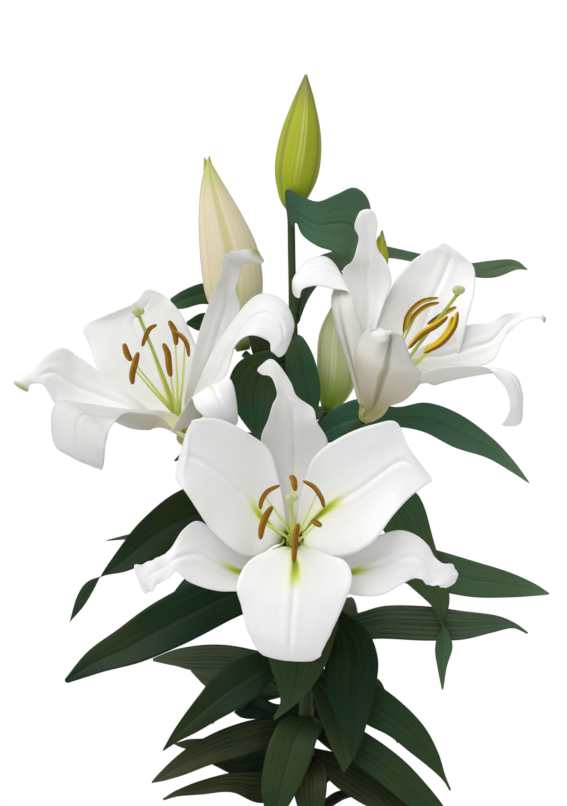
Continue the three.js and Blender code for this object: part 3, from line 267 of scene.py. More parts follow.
# The tepals, measured from the foot of their bloom: both edges, then the sag between them
FRONT_TEPALS = {
    "top_sepal": [
        (-6, -31, 15, 4, -31, 16, 2), (-18, -33, 50, 19, -33, 51, 6), (-22, -35, 69, 23, -35, 68, 6),
        (-17, -36, 83, 16, -37, 81, 5), (-14, -36, 93, 13, -36, 91, 4), (-11, -35, 100, 2, -33, 99, 3),
        (-13, -32, 108, -2, -31, 108, 2), (-16, -28, 112, -10, -27, 120, 0),
        (-21, -25, 113, -16, -22, 124, -1), (-25, -23, 116, -23, -21, 119, 0),
    ],
    "upper_left_petal": [
        (-13, -33, -3, -5, -33, 15, 3), (-28, -41, -10, -10, -39, 42, 6), (-40, -47, -5, -16, -43, 62, 7),
        (-55, -52, 9, -29, -47, 73, 7), (-64, -54, 22, -49, -49, 83, 6), (-72, -53, 34, -66, -49, 83, 4),
        (-77, -51, 40, -70, -48, 79, 2), (-80, -46, 46, -74, -44, 69, 0),
    ],
    "upper_right_petal": [
        (2, -33, 15, 8, -33, -2, 3), (8, -39, 42, 19, -41, -9, 6), (16, -43, 60, 35, -47, -9, 7),
        (35, -47, 73, 53, -52, 1, 7), (55, -49, 80, 66, -54, 18, 6), (69, -49, 81, 77, -53, 30, 4),
        (77, -48, 65, 87, -51, 38, 2), (91, -45, 46, 94, -46, 42, 0),
    ],
    "left_sepal": [
        (-12, -29, -8, -8, -29, -1, 1), (-28, -35, -30, -28, -31, -10, 3), (-44, -39, -33, -46, -35, 1, 4),
        (-58, -41, -31, -63, -37, 14, 3), (-71, -42, -26, -74, -39, 9, 1),
        (-79, -42, -20, -83, -39, -4, -1), (-89, -41, -27, -94, -39, -12, 1),
        (-97, -38, -33, -106, -36, -15, -1), (-100, -35, -35, -107, -33, -22, 0),
    ],
    "right_sepal": [
        (6, -29, -2, 9, -29, -8, 1), (27, -31, -9, 30, -35, -31, 3), (45, -35, -1, 45, -39, -36, 4),
        (61, -37, 6, 60, -41, -35, 3), (74, -39, 8, 73, -42, -28, 1), (87, -39, 2, 82, -42, -24, -1),
        (97, -39, -11, 91, -41, -28, 1), (109, -36, -17, 99, -38, -30, -1),
        (111, -33, -22, 108, -35, -30, 0),
    ],
    "bottom_petal": [
        (6, -31, -3, -6, -31, -3, 2), (22, -45, -7, -21, -45, -6, 4), (35, -53, -12, -33, -53, -16, 5),
        (39, -59, -24, -38, -59, -29, 4), (34, -62, -39, -35, -62, -41, 2),
        (27, -62, -55, -31, -62, -57, 0), (21, -59, -68, -26, -59, -67, -2),
        (16, -53, -77, -20, -53, -75, -2), (9, -46, -79, -12, -46, -77, 0),
    ],
}

LEFT_TEPALS = {
    "back_petal": [
        (-11, -5, 21, -1, 1, 28, 3), (-33, -10, 26, 6, 4, 43, 7), (-53, -9, 38, 8, 5, 57, 8),
        (-64, -4, 53, 5, 6, 67, 7), (-70, 2, 70, 0, 8, 79, 5), (-75, 6, 84, -6, 10, 91, 4),
        (-61, 9, 91, -11, 11, 98, 3), (-41, 11, 100, -18, 12, 105, 1), (-32, 12, 110, -27, 12, 110, 0),
    ],
    "left_sepal": [
        (-34, -24, 21, -35, -14, 31, 3), (-58, -28, 24, -59, -12, 49, 4), (-78, -30, 24, -75, -14, 61, 3),
        (-91, -30, 30, -85, -18, 68, 1), (-96, -30, 37, -95, -22, 66, 0),
        (-101, -30, 43, -107, -28, 54, -1), (-109, -32, 43, -119, -32, 48, -2),
        (-110, -36, 37, -120, -36, 43, -1),
    ],
    "drooping_petal": [
        (-4, -24, 6, -7, -18, 19, 3), (-20, -40, 21, -20, -24, 25, 11), (-36, -50, 23, -37, -28, 26, 11),
        (-46, -58, 22, -54, -32, 29, 7), (-52, -64, 15, -73, -38, 30, 2), (-54, -68, 8, -89, -42, 31, -3),
        (-55, -70, -1, -93, -50, 17, -4), (-56, -69, -9, -89, -58, 0, -3),
        (-57, -67, -13, -73, -62, -7, -2), (-58, -65, -15, -60, -64, -13, 0),
    ],
    "upright_sepal": [
        (-4, -12, 30, 4, -14, 28, 2), (0, -10, 52, 17, -18, 52, 3), (5, -8, 73, 26, -18, 73, 4),
        (8, -8, 87, 32, -18, 86, 4), (13, -10, 100, 35, -18, 97, 4), (17, -12, 109, 32, -18, 108, 3),
        (21, -15, 117, 34, -20, 117, 2), (23, -20, 128, 37, -24, 125, 1), (26, -26, 133, 43, -28, 127, -2),
        (35, -32, 135, 50, -30, 127, -2), (46, -34, 136, 50, -32, 131, 0),
    ],
    "arching_petal": [
        (1, -18, 30, 7, -22, 30, 2), (8, -18, 48, 20, -30, 43, 4), (14, -18, 64, 27, -36, 56, 5),
        (22, -20, 77, 32, -40, 69, 4), (35, -22, 94, 39, -44, 75, 2), (50, -24, 105, 48, -46, 76, -2),
        (65, -30, 100, 55, -46, 72, -4), (72, -36, 86, 56, -46, 66, -4), (70, -40, 75, 58, -46, 64, -2),
        (66, -44, 64, 62, -46, 61, 0),
    ],
    "front_sepal": [
        (6, -18, 23, -2, -18, 17, 2), (13, -26, 34, -6, -30, 13, 4), (22, -34, 44, -11, -44, 11, 6),
        (28, -42, 47, 1, -56, 34, 0), (32, -48, 38, 6, -62, 26, -5), (33, -50, 27, 16, -62, 16, -4),
        (34, -50, 16, 27, -56, 10, 0),
    ],
}

RIGHT_TEPALS = {
    "upright_sepal": [
        (-1, 4, 49, 6, 4, 49, 3), (-7, 6, 79, 16, 8, 84, 5), (-14, 6, 102, 20, 7, 96, 5),
        (-7, 4, 111, 17, 5, 109, 3), (-4, 2, 120, 11, 3, 118, 2), (-3, 0, 127, 9, 1, 126, 1),
        (-6, -2, 134, 10, -2, 136, 0), (-3, -4, 143, 8, -4, 143, -1), (1, -5, 146, 5, -5, 146, 0),
    ],
    "left_petal": [
        (3, -10, 14, -4, -6, 15, 2), (3, -16, 35, -12, -6, 42, 4), (0, -18, 55, -19, -6, 65, 5),
        (-5, -18, 74, -21, -4, 83, 4), (-9, -16, 88, -17, 6, 102, 0), (-22, -14, 91, -25, 10, 113, -3),
        (-34, -12, 92, -39, 8, 111, -4), (-42, -12, 90, -48, 2, 99, -3), (-44, -12, 83, -49, -6, 87, 0),
    ],
    "funnel_petal": [
        (16, -14, 9, -2, -12, 12, 3), (28, -24, 14, -4, -16, 26, 9), (37, -32, 24, -6, -22, 40, 13),
        (39, -36, 32, -5, -28, 51, 14), (33, -40, 40, -1, -32, 59, 11), (28, -44, 50, 4, -36, 62, 7),
        (22, -48, 59, 10, -42, 63, 2), (17, -54, 58, 5, -50, 60, -2), (14, -56, 53, 7, -55, 53, 0),
    ],
    "wide_petal": [
        (9, 6, 47, 35, -3, 35, 4), (5, 8, 64, 53, -3, 36, 8), (15, 11, 82, 66, 0, 46, 9),
        (24, 12, 99, 73, 4, 71, 7), (34, 16, 110, 78, 10, 91, 5), (43, 18, 117, 78, 14, 106, 3),
        (52, 18, 121, 71, 16, 114, 1), (57, 18, 124, 61, 18, 122, 0),
    ],
    "narrow_sepal": [
        (34, -4, 46, 38, -10, 36, 2), (54, 2, 56, 60, -8, 36, 3), (72, 6, 66, 79, -6, 37, 3),
        (87, 8, 68, 91, -2, 43, 2), (98, 8, 73, 98, 2, 57, 1), (106, 8, 75, 106, 4, 66, 1),
        (115, 6, 74, 113, 4, 70, 0), (123, 4, 74, 122, 3, 71, 0), (127, 0, 71, 126, 0, 67, 0),
    ],
    "lower_petal": [
        (31, -12, 40, 25, -26, 15, 3), (46, -14, 39, 41, -40, 34, 12), (63, -16, 39, 58, -46, 36, 9),
        (78, -18, 37, 75, -48, 36, 5), (93, -22, 34, 85, -48, 34, 1), (104, -26, 30, 92, -46, 28, -2),
        (108, -30, 19, 97, -44, 19, -3), (108, -32, 9, 98, -42, 9, -3), (106, -32, -2, 96, -38, 1, -2),
        (98, -33, -4, 93, -35, -3, 0),
    ],
}

# The blooms: where each stands and looks, and its stamens and pistil, measured from its origin
BLOOMS = {
    "front": {
        "origin": (-9, -35, 388),
        "axis": (0, -1, 0.02),
        "tepals": FRONT_TEPALS,
        "throat": (0, -26, 0.5),
        "style": [(0, -60, 10, 1.2), (-2, -95, 27, 1.2), (-2, -99, 30, 1.4)],
        "stigma": (-2, -99, 31),
        "anthers": [
            [(-9, -88, 40), (-17, -88, 36), (-21, -88, 30), (-22, -86, 24)],
            [(-14, -84, 26), (-18, -84, 20), (-21, -84, 12), (-22, -82, 4)],
            [(-2, -77, 46), (0, -81, 43), (1, -84, 36)],
            [(6, -88, 43), (13, -88, 39), (18, -88, 32), (20, -86, 25)],
            [(12, -82, 17), (15, -85, 15), (18, -88, 13)],
            [(3, -92, 15), (1, -94, 6), (0, -92, -11)],
        ],
    },
    "left": {
        "origin": (-80.4, -10, 451.6),
        "axis": (-0.33, -0.4, 0.85),
        "tepals": LEFT_TEPALS,
        "throat": (-8, -10, 20),
        "style": [(-18, -22, 48, 1.2), (-33, -38, 87, 1.2), (-35, -40, 90, 1.4)],
        "stigma": (-35, -40, 92),
        "anthers": [
            [(-44, -44, 71), (-42, -44, 64), (-39, -44, 59)],
            [(-34, -50, 65), (-36, -50, 58), (-38, -50, 50), (-38, -48, 43)],
            [(-22, -34, 84), (-27, -34, 81), (-30, -34, 75), (-32, -33, 69)],
            [(-17, -52, 71), (-14, -52, 64), (-13, -52, 55), (-12, -50, 48)],
            [(-14, -28, 87), (-10, -28, 79), (-9, -28, 70)],
            [(-12, -40, 80), (-5, -40, 76), (-1, -40, 70), (0, -39, 62)],
        ],
    },
    "right": {
        "origin": (39.2, -22, 470),
        "axis": (0.56, -0.3, 0.77),
        "tepals": RIGHT_TEPALS,
        "throat": (13, -7, 18),
        "style": [(34, -18, 47, 1.2), (62, -28, 84, 1.2), (64, -29, 86, 1.4)],
        "stigma": (64, -30, 88),
        "anthers": [
            [(51, -24, 84), (39, -28, 81), (30, -28, 72), (27, -24, 60)],
            [(52, -18, 81), (42, -20, 78), (33, -20, 70), (28, -18, 61)],
            [(64, -14, 78), (58, -16, 75), (50, -16, 70), (44, -14, 66)],
            [(57, -32, 71), (49, -34, 65), (39, -34, 59), (30, -30, 49)],
            [(63, -42, 74), (60, -44, 63), (52, -44, 53), (40, -40, 46)],
            [(60, -36, 71), (57, -38, 61), (49, -38, 52), (41, -34, 48)],
        ],
    },
}

# What sets single tepals apart. A shift, in decimetres, brings the end of the throat's colours
# nearer the foot; a frill is in millimetres; a lean draws the midrib to the first edge; the last
# factor scales the brightness of both sides. That factor is painted light and shade: it makes some
# tepals darker and a few brighter than the shared white, as the light falls on them.
TEPAL_TRAITS = {
    ("front", "top_sepal"): {"shift": 0.1, "painted_shading": 0.8},
    ("front", "upper_left_petal"): {"shift": 0.08, "painted_shading": 0.94},
    ("front", "left_sepal"): {"shift": -0.04, "frill": 0.9, "groove_width": 0.3},
    ("front", "right_sepal"): {"shift": -0.08, "frill": 0.8, "groove_width": 0.3, "painted_shading": 1.05},
    ("front", "bottom_petal"): {"frill": 0.35},
    ("left", "back_petal"): {"shift": 0.3},
    ("left", "left_sepal"): {"shift": 0.3, "green_tip": True},
    ("left", "drooping_petal"): {"painted_shading": 0.74},
    ("left", "upright_sepal"): {"shift": 0.3, "frill": 0.8, "green_tip": True, "painted_shading": 0.78},
    ("left", "arching_petal"): {"shift": 0.3, "painted_shading": 0.94},
    ("right", "upright_sepal"): {"shift": 0.4, "painted_shading": 1.12},
    ("right", "left_petal"): {"shift": 0.3},
    ("right", "funnel_petal"): {"shift": 0.08, "frill": 0.5, "lean": 0.6, "painted_shading": 0.88},
    ("right", "wide_petal"): {"shift": 0.3, "painted_shading": 1.05},
    ("right", "narrow_sepal"): {"shift": 0.3, "green_tip": True},
    ("right", "lower_petal"): {"shift": 0.3},
}

# Two buds are parting at their tips, each row (x, y, z, radius)
SPLIT_TIPS = {
    "bud_small": [
        [(51.5, 18, 573, 2), (50.2, 17.6, 584, 2.4), (50.4, 18, 593, 1.5), (51.2, 18, 600, 0.3)],
        [(54.5, 18, 573, 2), (56.2, 17.8, 583, 2.2), (56.4, 18, 590, 1.4), (56, 18, 597, 0.3)],
    ],
    "bud_cream": [
        [(-68.2, 14, 636, 4), (-69.6, 13.8, 645, 2.6), (-70.8, 13.8, 651, 1.2), (-71.4, 13.8, 655, 0.3)],
        [(-66, 14, 636, 4), (-67, 13.8, 645, 2.8), (-67.9, 14, 652, 1.3), (-68.1, 14, 656, 0.3)],
    ],
}

# The buds: rows (x, y, z, radius), and the angle of a midrib at the foot, turning by the twist
BUDS = {
    "bud_top": {
        "rows": [
            (-10.5, 0, 617, 3.6), (-9.5, 0, 624, 9), (-7, 0, 640, 14.6), (-5, 0, 655, 15.6),
            (-3, 0, 673, 13.4), (-1.2, 0, 694, 7.4), (0, 0, 712, 0.8),
        ],
        "color": "green", "turn": 270, "twist": 0.2,
    },
    "bud_cream": {
        "rows": [
            (-44, 14, 519, 4.6), (-47.5, 14, 536, 12), (-50.5, 14, 560, 20), (-54, 14, 585, 20.5),
            (-60, 14, 609, 16), (-66, 14, 634, 8.6), (-69, 14, 654, 0.8),
        ],
        "color": "cream", "turn": 210, "twist": 0.15,
    },
    "bud_right": {
        "rows": [
            (15, 8, 476, 3.6), (17.5, 8, 484, 8.6), (21, 8, 497, 13), (21.7, 8, 512, 14),
            (22, 8, 530, 12.6), (24.5, 8, 547, 7.6), (27, 8, 563, 0.8),
        ],
        "color": "pale", "turn": 255, "twist": 0.2,
    },
    "bud_small": {
        "rows": [(52, 20, 571.5, 2), (53, 20, 581, 4.4), (53.5, 20, 593, 3.4), (54, 20, 604, 0.6)],
        "color": "green", "turn": 280, "twist": 0.0,
    },
}


# Curves through rows of numbers
def rows_at(rows, ts):
    """A smooth curve through the rows, with each number of a row as one coordinate."""
    rows = np.array(rows, float)
    if len(rows) == 1:
        return np.repeat(rows, len(ts), axis=0)
    last = len(rows) - 1
    padded = np.vstack([2 * rows[0] - rows[1], rows, 2 * rows[-1] - rows[-2]])
    index = np.minimum((ts * last).astype(int), last - 1)
    u = (ts * last - index)[:, None]
    before, start, end, after = (padded[index + k] for k in range(4))
    bend = 2 * before - 5 * start + 4 * end - after
    turn = 3 * start - before - 3 * end + after
    return start + 0.5 * u * (end - before + u * (bend + u * turn))


def unit(vectors):
    return vectors / np.maximum(np.linalg.norm(vectors, axis=-1, keepdims=True), 1e-9)


def tangents_at(rows, ts):
    """The direction of the curve through the rows."""
    step = 0.01
    ahead = rows_at(rows, np.minimum(ts + step, 1))[:, :3]
    behind = rows_at(rows, np.maximum(ts - step, 0))[:, :3]
    return unit(ahead - behind)


def smooth(value, low, high):
    """0 at low and 1 at high, eased between them."""
    part = np.clip((value - low) / (high - low), 0, 1)
    return part * part * (3 - 2 * part)


def hump(value, middle, width):
    """1 at the middle, falling off on both sides of it."""
    return np.exp(-(((value - middle) / width) ** 2))


# Meshes
def added(name, data):
    """A new object in the scene, made of a mesh, a camera or a light."""
    obj = bpy.data.objects.new(name, data)
    bpy.context.scene.collection.objects.link(obj)
    return obj


def mesh_object(name, points, faces, uvs, materials, kinds=None, flat_from=None):
    """An object from points in millimetres, with one UV for each point or for each face corner."""
    mesh = bpy.data.meshes.new(name)
    mesh.from_pydata((np.asarray(points) * MM).tolist(), [], faces)
    uvs = np.asarray(uvs, dtype=np.float32)
    if len(uvs) == len(mesh.vertices):
        corners = np.empty(len(mesh.loops), dtype=np.int32)
        mesh.loops.foreach_get("vertex_index", corners)
        uvs = uvs[corners]
    mesh.uv_layers.new(name="UVMap").data.foreach_set("uv", uvs.ravel())
    for material in materials:
        mesh.materials.append(material)
    if kinds is not None:
        mesh.polygons.foreach_set("material_index", np.array(kinds, dtype=np.int32))
    soft = np.ones(len(mesh.polygons), dtype=bool)
    if flat_from is not None:
        soft[flat_from:] = False
    mesh.polygons.foreach_set("use_smooth", soft)
    mesh.update()
    return added(name, mesh)


def settle(obj, node):
    """Attaches an object to the root body and hides the imported part that stands for the node."""
    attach(obj, "root")
    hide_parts(node)
    return obj


def uv_grid(along, across):
    """UVs of a grid of points: u is its place across, and v its place along."""
    v = along[:, None] * np.ones_like(across)
    return np.stack([across, v], axis=-1).reshape(-1, 2)


def shell(name, middle, thickness, uvs, materials):
    """A thin closed shell about a grid of points: an upper side, an under side and a narrow edge."""
    along, across = middle.shape[:2]
    normal = unit(np.cross(np.gradient(middle, axis=1), np.gradient(middle, axis=0)))
    offset = normal * (thickness / 2)[..., None]
    points = np.concatenate([(middle + offset).reshape(-1, 3), (middle - offset).reshape(-1, 3)])
    under = along * across
    grid = np.arange(under).reshape(along, across)
    a, b, c, d = grid[:-1, :-1], grid[:-1, 1:], grid[1:, 1:], grid[1:, :-1]
    upper_faces = np.stack([a, b, c, d], axis=-1).reshape(-1, 4)
    lower_faces = np.stack([a, d, c, b], axis=-1).reshape(-1, 4) + under
    rim = np.concatenate([grid[0, :-1], grid[:-1, -1], grid[-1, :0:-1], grid[:0:-1, 0]])
    after = np.roll(rim, -1)
    edge_faces = np.stack([rim, rim + under, after + under, after], axis=-1)
    faces = np.concatenate([upper_faces, lower_faces, edge_faces])
    kinds = np.repeat([0, 1], [len(upper_faces), len(faces) - len(upper_faces)])
    flat_from = len(upper_faces) + len(lower_faces)
    return mesh_object(name, points, faces.tolist(), np.concatenate([uvs, uvs]), materials, kinds, flat_from)


def spread(count, crowding):
    """Places from 0 to 1 that crowd towards 1."""
    return 1 - (1 - np.linspace(0, 1, count + 1)) ** crowding


def edges_along(rows, faces, t):
    """The two edges of a strip along a spine of rows (x, y, z, width)."""
    values = rows_at(rows, t)
    side = unit(np.cross(tangents_at(rows, t), rows_at(faces, t)))
    reach = side * values[:, 3:4] / 2
    return values[:, :3] - reach, values[:, :3] + reach


# A blade's rounded end takes a share of its length between two limits; its edges and tip are thinner
BLUNT_SHARES = 0.005, 0.03
EDGE_THINNING = 0.6
TIP_THINNING = 0.5


def blade(name, edges, t, along, columns, lift, thickness, materials, lean=0.0):
    """A leaf or a tepal between two edges; lift(t, s, half) raises it off the flat between them.

    A lean moves its midrib towards the first edge as it nears the tip.
    """
    left, right = edges
    centre = (left + right) / 2
    side = unit(right - left)
    tangent = unit(np.gradient(centre, axis=0))
    normal = unit(np.cross(side, tangent))
    tangent = unit(np.cross(normal, side))
    length = np.linalg.norm(np.diff(centre, axis=0), axis=1).sum()
    blunt = np.clip(0.5 * np.linalg.norm(right[-1] - left[-1]) / length, *BLUNT_SHARES)
    closing = np.sqrt(np.clip(1 - (np.maximum(t - 1 + blunt, 0) / blunt) ** 2, 0.001, 1))
    half = (0.5 * np.linalg.norm(right - left, axis=1) * closing)[:, None]
    even = np.linspace(-1, 1, columns + 1)
    s = (even * (0.65 + 0.35 * even**2))[None, :]
    from_rib = s + lean * smooth(t, 0.4, 0.85)[:, None] * (1 - s**2)
    height = lift(t[:, None], from_rib, half)
    middle = centre[:, None] + side[:, None] * (s * half)[..., None] + normal[:, None] * height[..., None]
    thin = (1 - EDGE_THINNING * np.abs(s) ** 5) * (1 - TIP_THINNING * smooth(t, 0.9, 1))[:, None]
    return shell(name, middle, thickness * thin, uv_grid(along, (from_rib + 1) / 2), materials)


LEAST_RADIUS = 0.12


def rod(name, rows, steps, sides, materials, shape=None, turn=0.0, twist=0.0):
    """A closed tube with a radius of its own at each row.

    shape(angle, t) scales that radius. Its angle starts at turn and goes round with t by twist.
    """
    ts = np.linspace(0, 1, steps + 1)
    values = rows_at(rows, ts)
    tangent = tangents_at(rows, ts)
    across = np.zeros((steps + 1, 3))
    current = np.array([1.0, 0, 0]) if abs(tangent[0][0]) < 0.8 else np.array([0, 1.0, 0])
    for i in range(steps + 1):
        current = unit(current - tangent[i] * current.dot(tangent[i]))
        across[i] = current
    upward = np.cross(tangent, across)
    angle = np.linspace(0, 2 * np.pi, sides, endpoint=False)[None, :]
    offset = (turn + twist * ts)[:, None]
    radius = np.maximum(values[:, 3], LEAST_RADIUS)[:, None] * np.ones((1, sides))
    if shape is not None:
        radius = radius * shape(angle - offset, ts[:, None])
    ring = across[:, None] * np.cos(angle)[..., None] + upward[:, None] * np.sin(angle)[..., None]
    points = values[:, None, :3] + ring * radius[..., None]
    return tube_object(name, points, materials, offset[:, 0] / (2 * np.pi))


def ring_quads(grid):
    """Faces between closed rings, from the numbers of their points."""
    beside = np.roll(grid, -1, axis=1)
    return np.stack([grid[:-1], beside[:-1], beside[1:], grid[1:]], axis=-1).reshape(-1, 4)


def tube_object(name, points, materials, turned=None):
    """Rings of points joined into a tube and closed at both ends."""
    rings, sides = points.shape[:2]
    grid = np.arange(rings * sides).reshape(rings, sides)
    quads = ring_quads(grid)
    faces = quads.tolist() + [grid[0][::-1].tolist(), grid[-1].tolist()]
    turned = np.zeros(rings) if turned is None else turned
    u = np.arange(sides + 1)[None, :] / sides - turned[:, None]
    v = np.repeat(np.linspace(0, 1, rings)[:, None], sides + 1, axis=1)
    uv = np.stack([u, v], axis=-1)
    corners = np.stack([uv[:-1, :-1], uv[:-1, 1:], uv[1:, 1:], uv[1:, :-1]], axis=2).reshape(-1, 2)
    ends = np.repeat([[0.5, 0.0], [0.5, 1.0]], sides, axis=0)
    uvs = np.concatenate([corners, ends])
    return mesh_object(name, points.reshape(-1, 3), faces, uvs, materials, flat_from=len(quads))


def lathe_points(outline, sides):
    """Points of an outline of (radius, z) turned round the z axis."""
    outline = np.array(outline, float)
    angle = np.linspace(0, 2 * np.pi, sides, endpoint=False)
    x = outline[:, :1] * np.cos(angle)
    y = outline[:, :1] * np.sin(angle)
    z = np.repeat(outline[:, 1:2], sides, axis=1)
    return np.stack([x, y, z], axis=-1)


def rounded(outline, radius, steps=5):
    """The outline with each of its inner corners rounded off."""
    outline = [np.array(point, float) for point in outline]
    result = [outline[0]]
    for before, corner, after in zip(outline, outline[1:], outline[2:]):
        start = corner + unit(before - corner) * min(radius, np.linalg.norm(before - corner) / 2)
        end = corner + unit(after - corner) * min(radius, np.linalg.norm(after - corner) / 2)
        for u in np.linspace(0, 1, steps):
            result.append((1 - u) ** 2 * start + 2 * u * (1 - u) * corner + u * u * end)
    result.append(outline[-1])
    return result


def spaced(outline, step):
    """The outline with points added, so that none are further apart than a step."""
    result = [outline[0]]
    for start, end in zip(outline, outline[1:]):
        count = max(1, math.ceil(np.linalg.norm(end - start) / step))
        result += [start + (end - start) * k / count for k in range(1, count + 1)]
    return result


def joined(name, objects):
    """One object from several that share their list of materials."""
    shared = bmesh.new()
    for obj in objects:
        shared.from_mesh(obj.data)
    mesh = bpy.data.meshes.new(name)
    shared.to_mesh(mesh)
    shared.free()
    for material in objects[0].data.materials:
        mesh.materials.append(material)
    for obj in objects:
        bpy.data.meshes.remove(obj.data)
    return added(name, mesh)


# The pot: a tapered clay wall with a rim band and three drainage holes
POT_SIDES = 120
POT_STEP = 2.5
POT_ROUNDING = 2.2
DRAIN_SIDES = 32
RIM_BEVEL = 2
UNDERSIDE_BAND = 6
FLOOR_BAND = 8
RIM_FOOT = POT_HEIGHT - RIM_HEIGHT
POT_TAPER = (POT_TOP_RADIUS - RIM_STEP - POT_FOOT_RADIUS) / RIM_FOOT


def wall_radius(z):
    return POT_FOOT_RADIUS + POT_TAPER * z


MOUTH_RADIUS = POT_TOP_RADIUS - POT_WALL - RIM_BEVEL
FLOOR_RADIUS = wall_radius(POT_FLOOR) - POT_WALL


def drain_centres():
    turns = [2 * math.pi * k / 3 for k in range(3)]
    return [(DRAIN_CIRCLE * math.cos(turn), DRAIN_CIRCLE * math.sin(turn)) for turn in turns]


def circle(x, y, radius, count):
    turns = [2 * math.pi * k / count for k in range(count)]
    return [(x + radius * math.cos(turn), y + radius * math.sin(turn)) for turn in turns]


def potted_outline():
    """From the flat underside up the outside, over the rim and down the inside to the floor."""
    outline = [
        (POT_FOOT_RADIUS - UNDERSIDE_BAND, 0), (POT_FOOT_RADIUS, 0),
        (wall_radius(RIM_FOOT), RIM_FOOT), (POT_TOP_RADIUS, RIM_FOOT), (POT_TOP_RADIUS, POT_HEIGHT),
        (POT_TOP_RADIUS - POT_WALL, POT_HEIGHT), (MOUTH_RADIUS, POT_HEIGHT - RIM_BEVEL),
        (FLOOR_RADIUS, POT_FLOOR), (FLOOR_RADIUS - FLOOR_BAND, POT_FLOOR),
    ]
    return spaced(rounded(outline, POT_ROUNDING), POT_STEP)


def thrown(points):
    """Faint rings and a slight unevenness from the turning of the clay."""
    radius = np.hypot(points[..., 0], points[..., 1])
    angle = np.arctan2(points[..., 1], points[..., 0])
    z = points[..., 2]
    free = smooth(z, 2, 8) * (1 - smooth(z, POT_HEIGHT - 4, POT_HEIGHT - 1)) * (radius > wall_radius(z) - 2)
    rings = 0.16 * np.sin(z * 1.15) + 0.1 * np.sin(z * 2.7 + 2 * np.sin(angle))
    sway = 0.25 * np.sin(2 * angle + z / 40) + 0.12 * np.sin(5 * angle + 1)
    scale = 1 + free * (rings + sway - 0.35) / np.maximum(radius, 1)
    points[..., 0] *= scale
    points[..., 1] *= scale
    return points


def build_pot(material):
    """The turned wall, with its underside and its floor filled in round the drainage holes."""
    rings = thrown(lathe_points(potted_outline(), POT_SIDES))
    count = len(rings)
    points = rings.reshape(-1, 3).tolist()
    grid = np.arange(count * POT_SIDES).reshape(count, POT_SIDES)
    faces = ring_quads(grid).tolist()
    holes = [circle(x, y, DRAIN_RADIUS, DRAIN_SIDES) for x, y in drain_centres()]
    rims = []
    for ring, z, flip in ((grid[0], 0, True), (grid[-1], POT_FLOOR, False)):
        loops = [ring.tolist()]
        for hole in holes:
            start = len(points)
            points += [[x, y, z] for x, y in hole]
            loops.append(list(range(start, start + len(hole))))
        order = [index for loop in loops for index in loop]
        flat = [[Vector((points[index][0], points[index][1], 0)) for index in loop] for loop in loops]
        for triangle in tessellate_polygon(flat):
            faces.append(facing([order[corner] for corner in triangle], points, flip))
        rims.append(loops[1:])
    for low, high in zip(*rims):
        for k in range(len(low)):
            after = (k + 1) % len(low)
            faces.append([low[k], high[k], high[after], low[after]])
    uvs = np.zeros((len(points), 2))
    flat_from = (count - 1) * POT_SIDES
    pot = mesh_object("clay_pot", points, faces, uvs, [material], flat_from=flat_from)
    return settle(pot, "pot")


def facing(triangle, points, down):
    """The triangle's corners in the order that makes it look up, or down."""
    (ax, ay, _), (bx, by, _), (cx, cy, _) = (points[corner] for corner in triangle)
    looks_up = (bx - ax) * (cy - ay) - (by - ay) * (cx - ax) > 0
    return triangle[::-1] if looks_up == down else triangle


# The soil: it fills the pot, with crumbs and pale grit lying on it
SOIL_SIDES = 150
MOUND_HEIGHT = 3.0
MOUND_WIDTH = 22
NEAR_AXIS = 0.3
CRUMB_UNEVENNESS = 0.22
BARE_RADIUS = 12
BARE_RIM = 4


def soil_height(x, y):
    """The top of the soil: a low mound round the stem, a little lumpy."""
    radius = math.hypot(x, y)
    mound = MOUND_HEIGHT * math.exp(-((radius / MOUND_WIDTH) ** 2))
    lumps = 1.5 * noise.noise(Vector((x / 13, y / 13, 3))) + 0.9 * noise.noise(Vector((x / 4.5, y / 4.5, 7)))
    return SOIL_TOP + mound + lumps + 0.35 * noise.noise(Vector((x / 1.6, y / 1.6, 11)))


def soil_edge(z):
    """The soil's radius at a height, a hair's breadth inside the pot's wall."""
    slope = (MOUTH_RADIUS - FLOOR_RADIUS) / (POT_HEIGHT - RIM_BEVEL - POT_FLOOR)
    return FLOOR_RADIUS + slope * (z - POT_FLOOR) - 1.3 * SEAT_GAP


def build_soil(material):
    hole = STEM_RADIUS + SEAT_GAP
    rings = [(NEAR_AXIS, STEM_FOOT - SEAT_GAP), (hole, STEM_FOOT - SEAT_GAP)]
    rings += [(hole, z) for z in np.linspace(STEM_FOOT + 6, SOIL_TOP - 4, 8)]
    surface = np.linspace(hole, soil_edge(SOIL_TOP - 2), 60)
    bottom = POT_FLOOR + SEAT_GAP
    outline = rings + [(radius, SOIL_TOP) for radius in surface]
    outline += [(soil_edge(z), z) for z in np.linspace(SOIL_TOP - 4, bottom, 12)]
    outline.append((NEAR_AXIS, bottom))
    points = lathe_points(outline, SOIL_SIDES)
    for ring in points[len(rings):len(rings) + len(surface)]:
        for point in ring:
            point[2] = soil_height(point[0], point[1])
    soil = tube_object("soil_fill", points[::-1], [material])
    return settle(soil, "soil")


def lump(x, y, z, size, random, material):
    """A small uneven crumb, half sunk where it lies."""
    crumb = bmesh.new()
    bmesh.ops.create_icosphere(crumb, subdivisions=1, radius=1)
    stretch = random.uniform(0.55, 1.2, 3)
    for vertex in crumb.verts:
        push = 1 + random.uniform(-CRUMB_UNEVENNESS, CRUMB_UNEVENNESS)
        place = np.array(vertex.co) * stretch * size * push + (x, y, z + 0.25 * size)
        vertex.co = Vector((place * MM).tolist())
    mesh = bpy.data.meshes.new("crumb")
    crumb.to_mesh(mesh)
    crumb.free()
    mesh.materials.append(material)
    return bpy.data.objects.new("crumb", mesh)


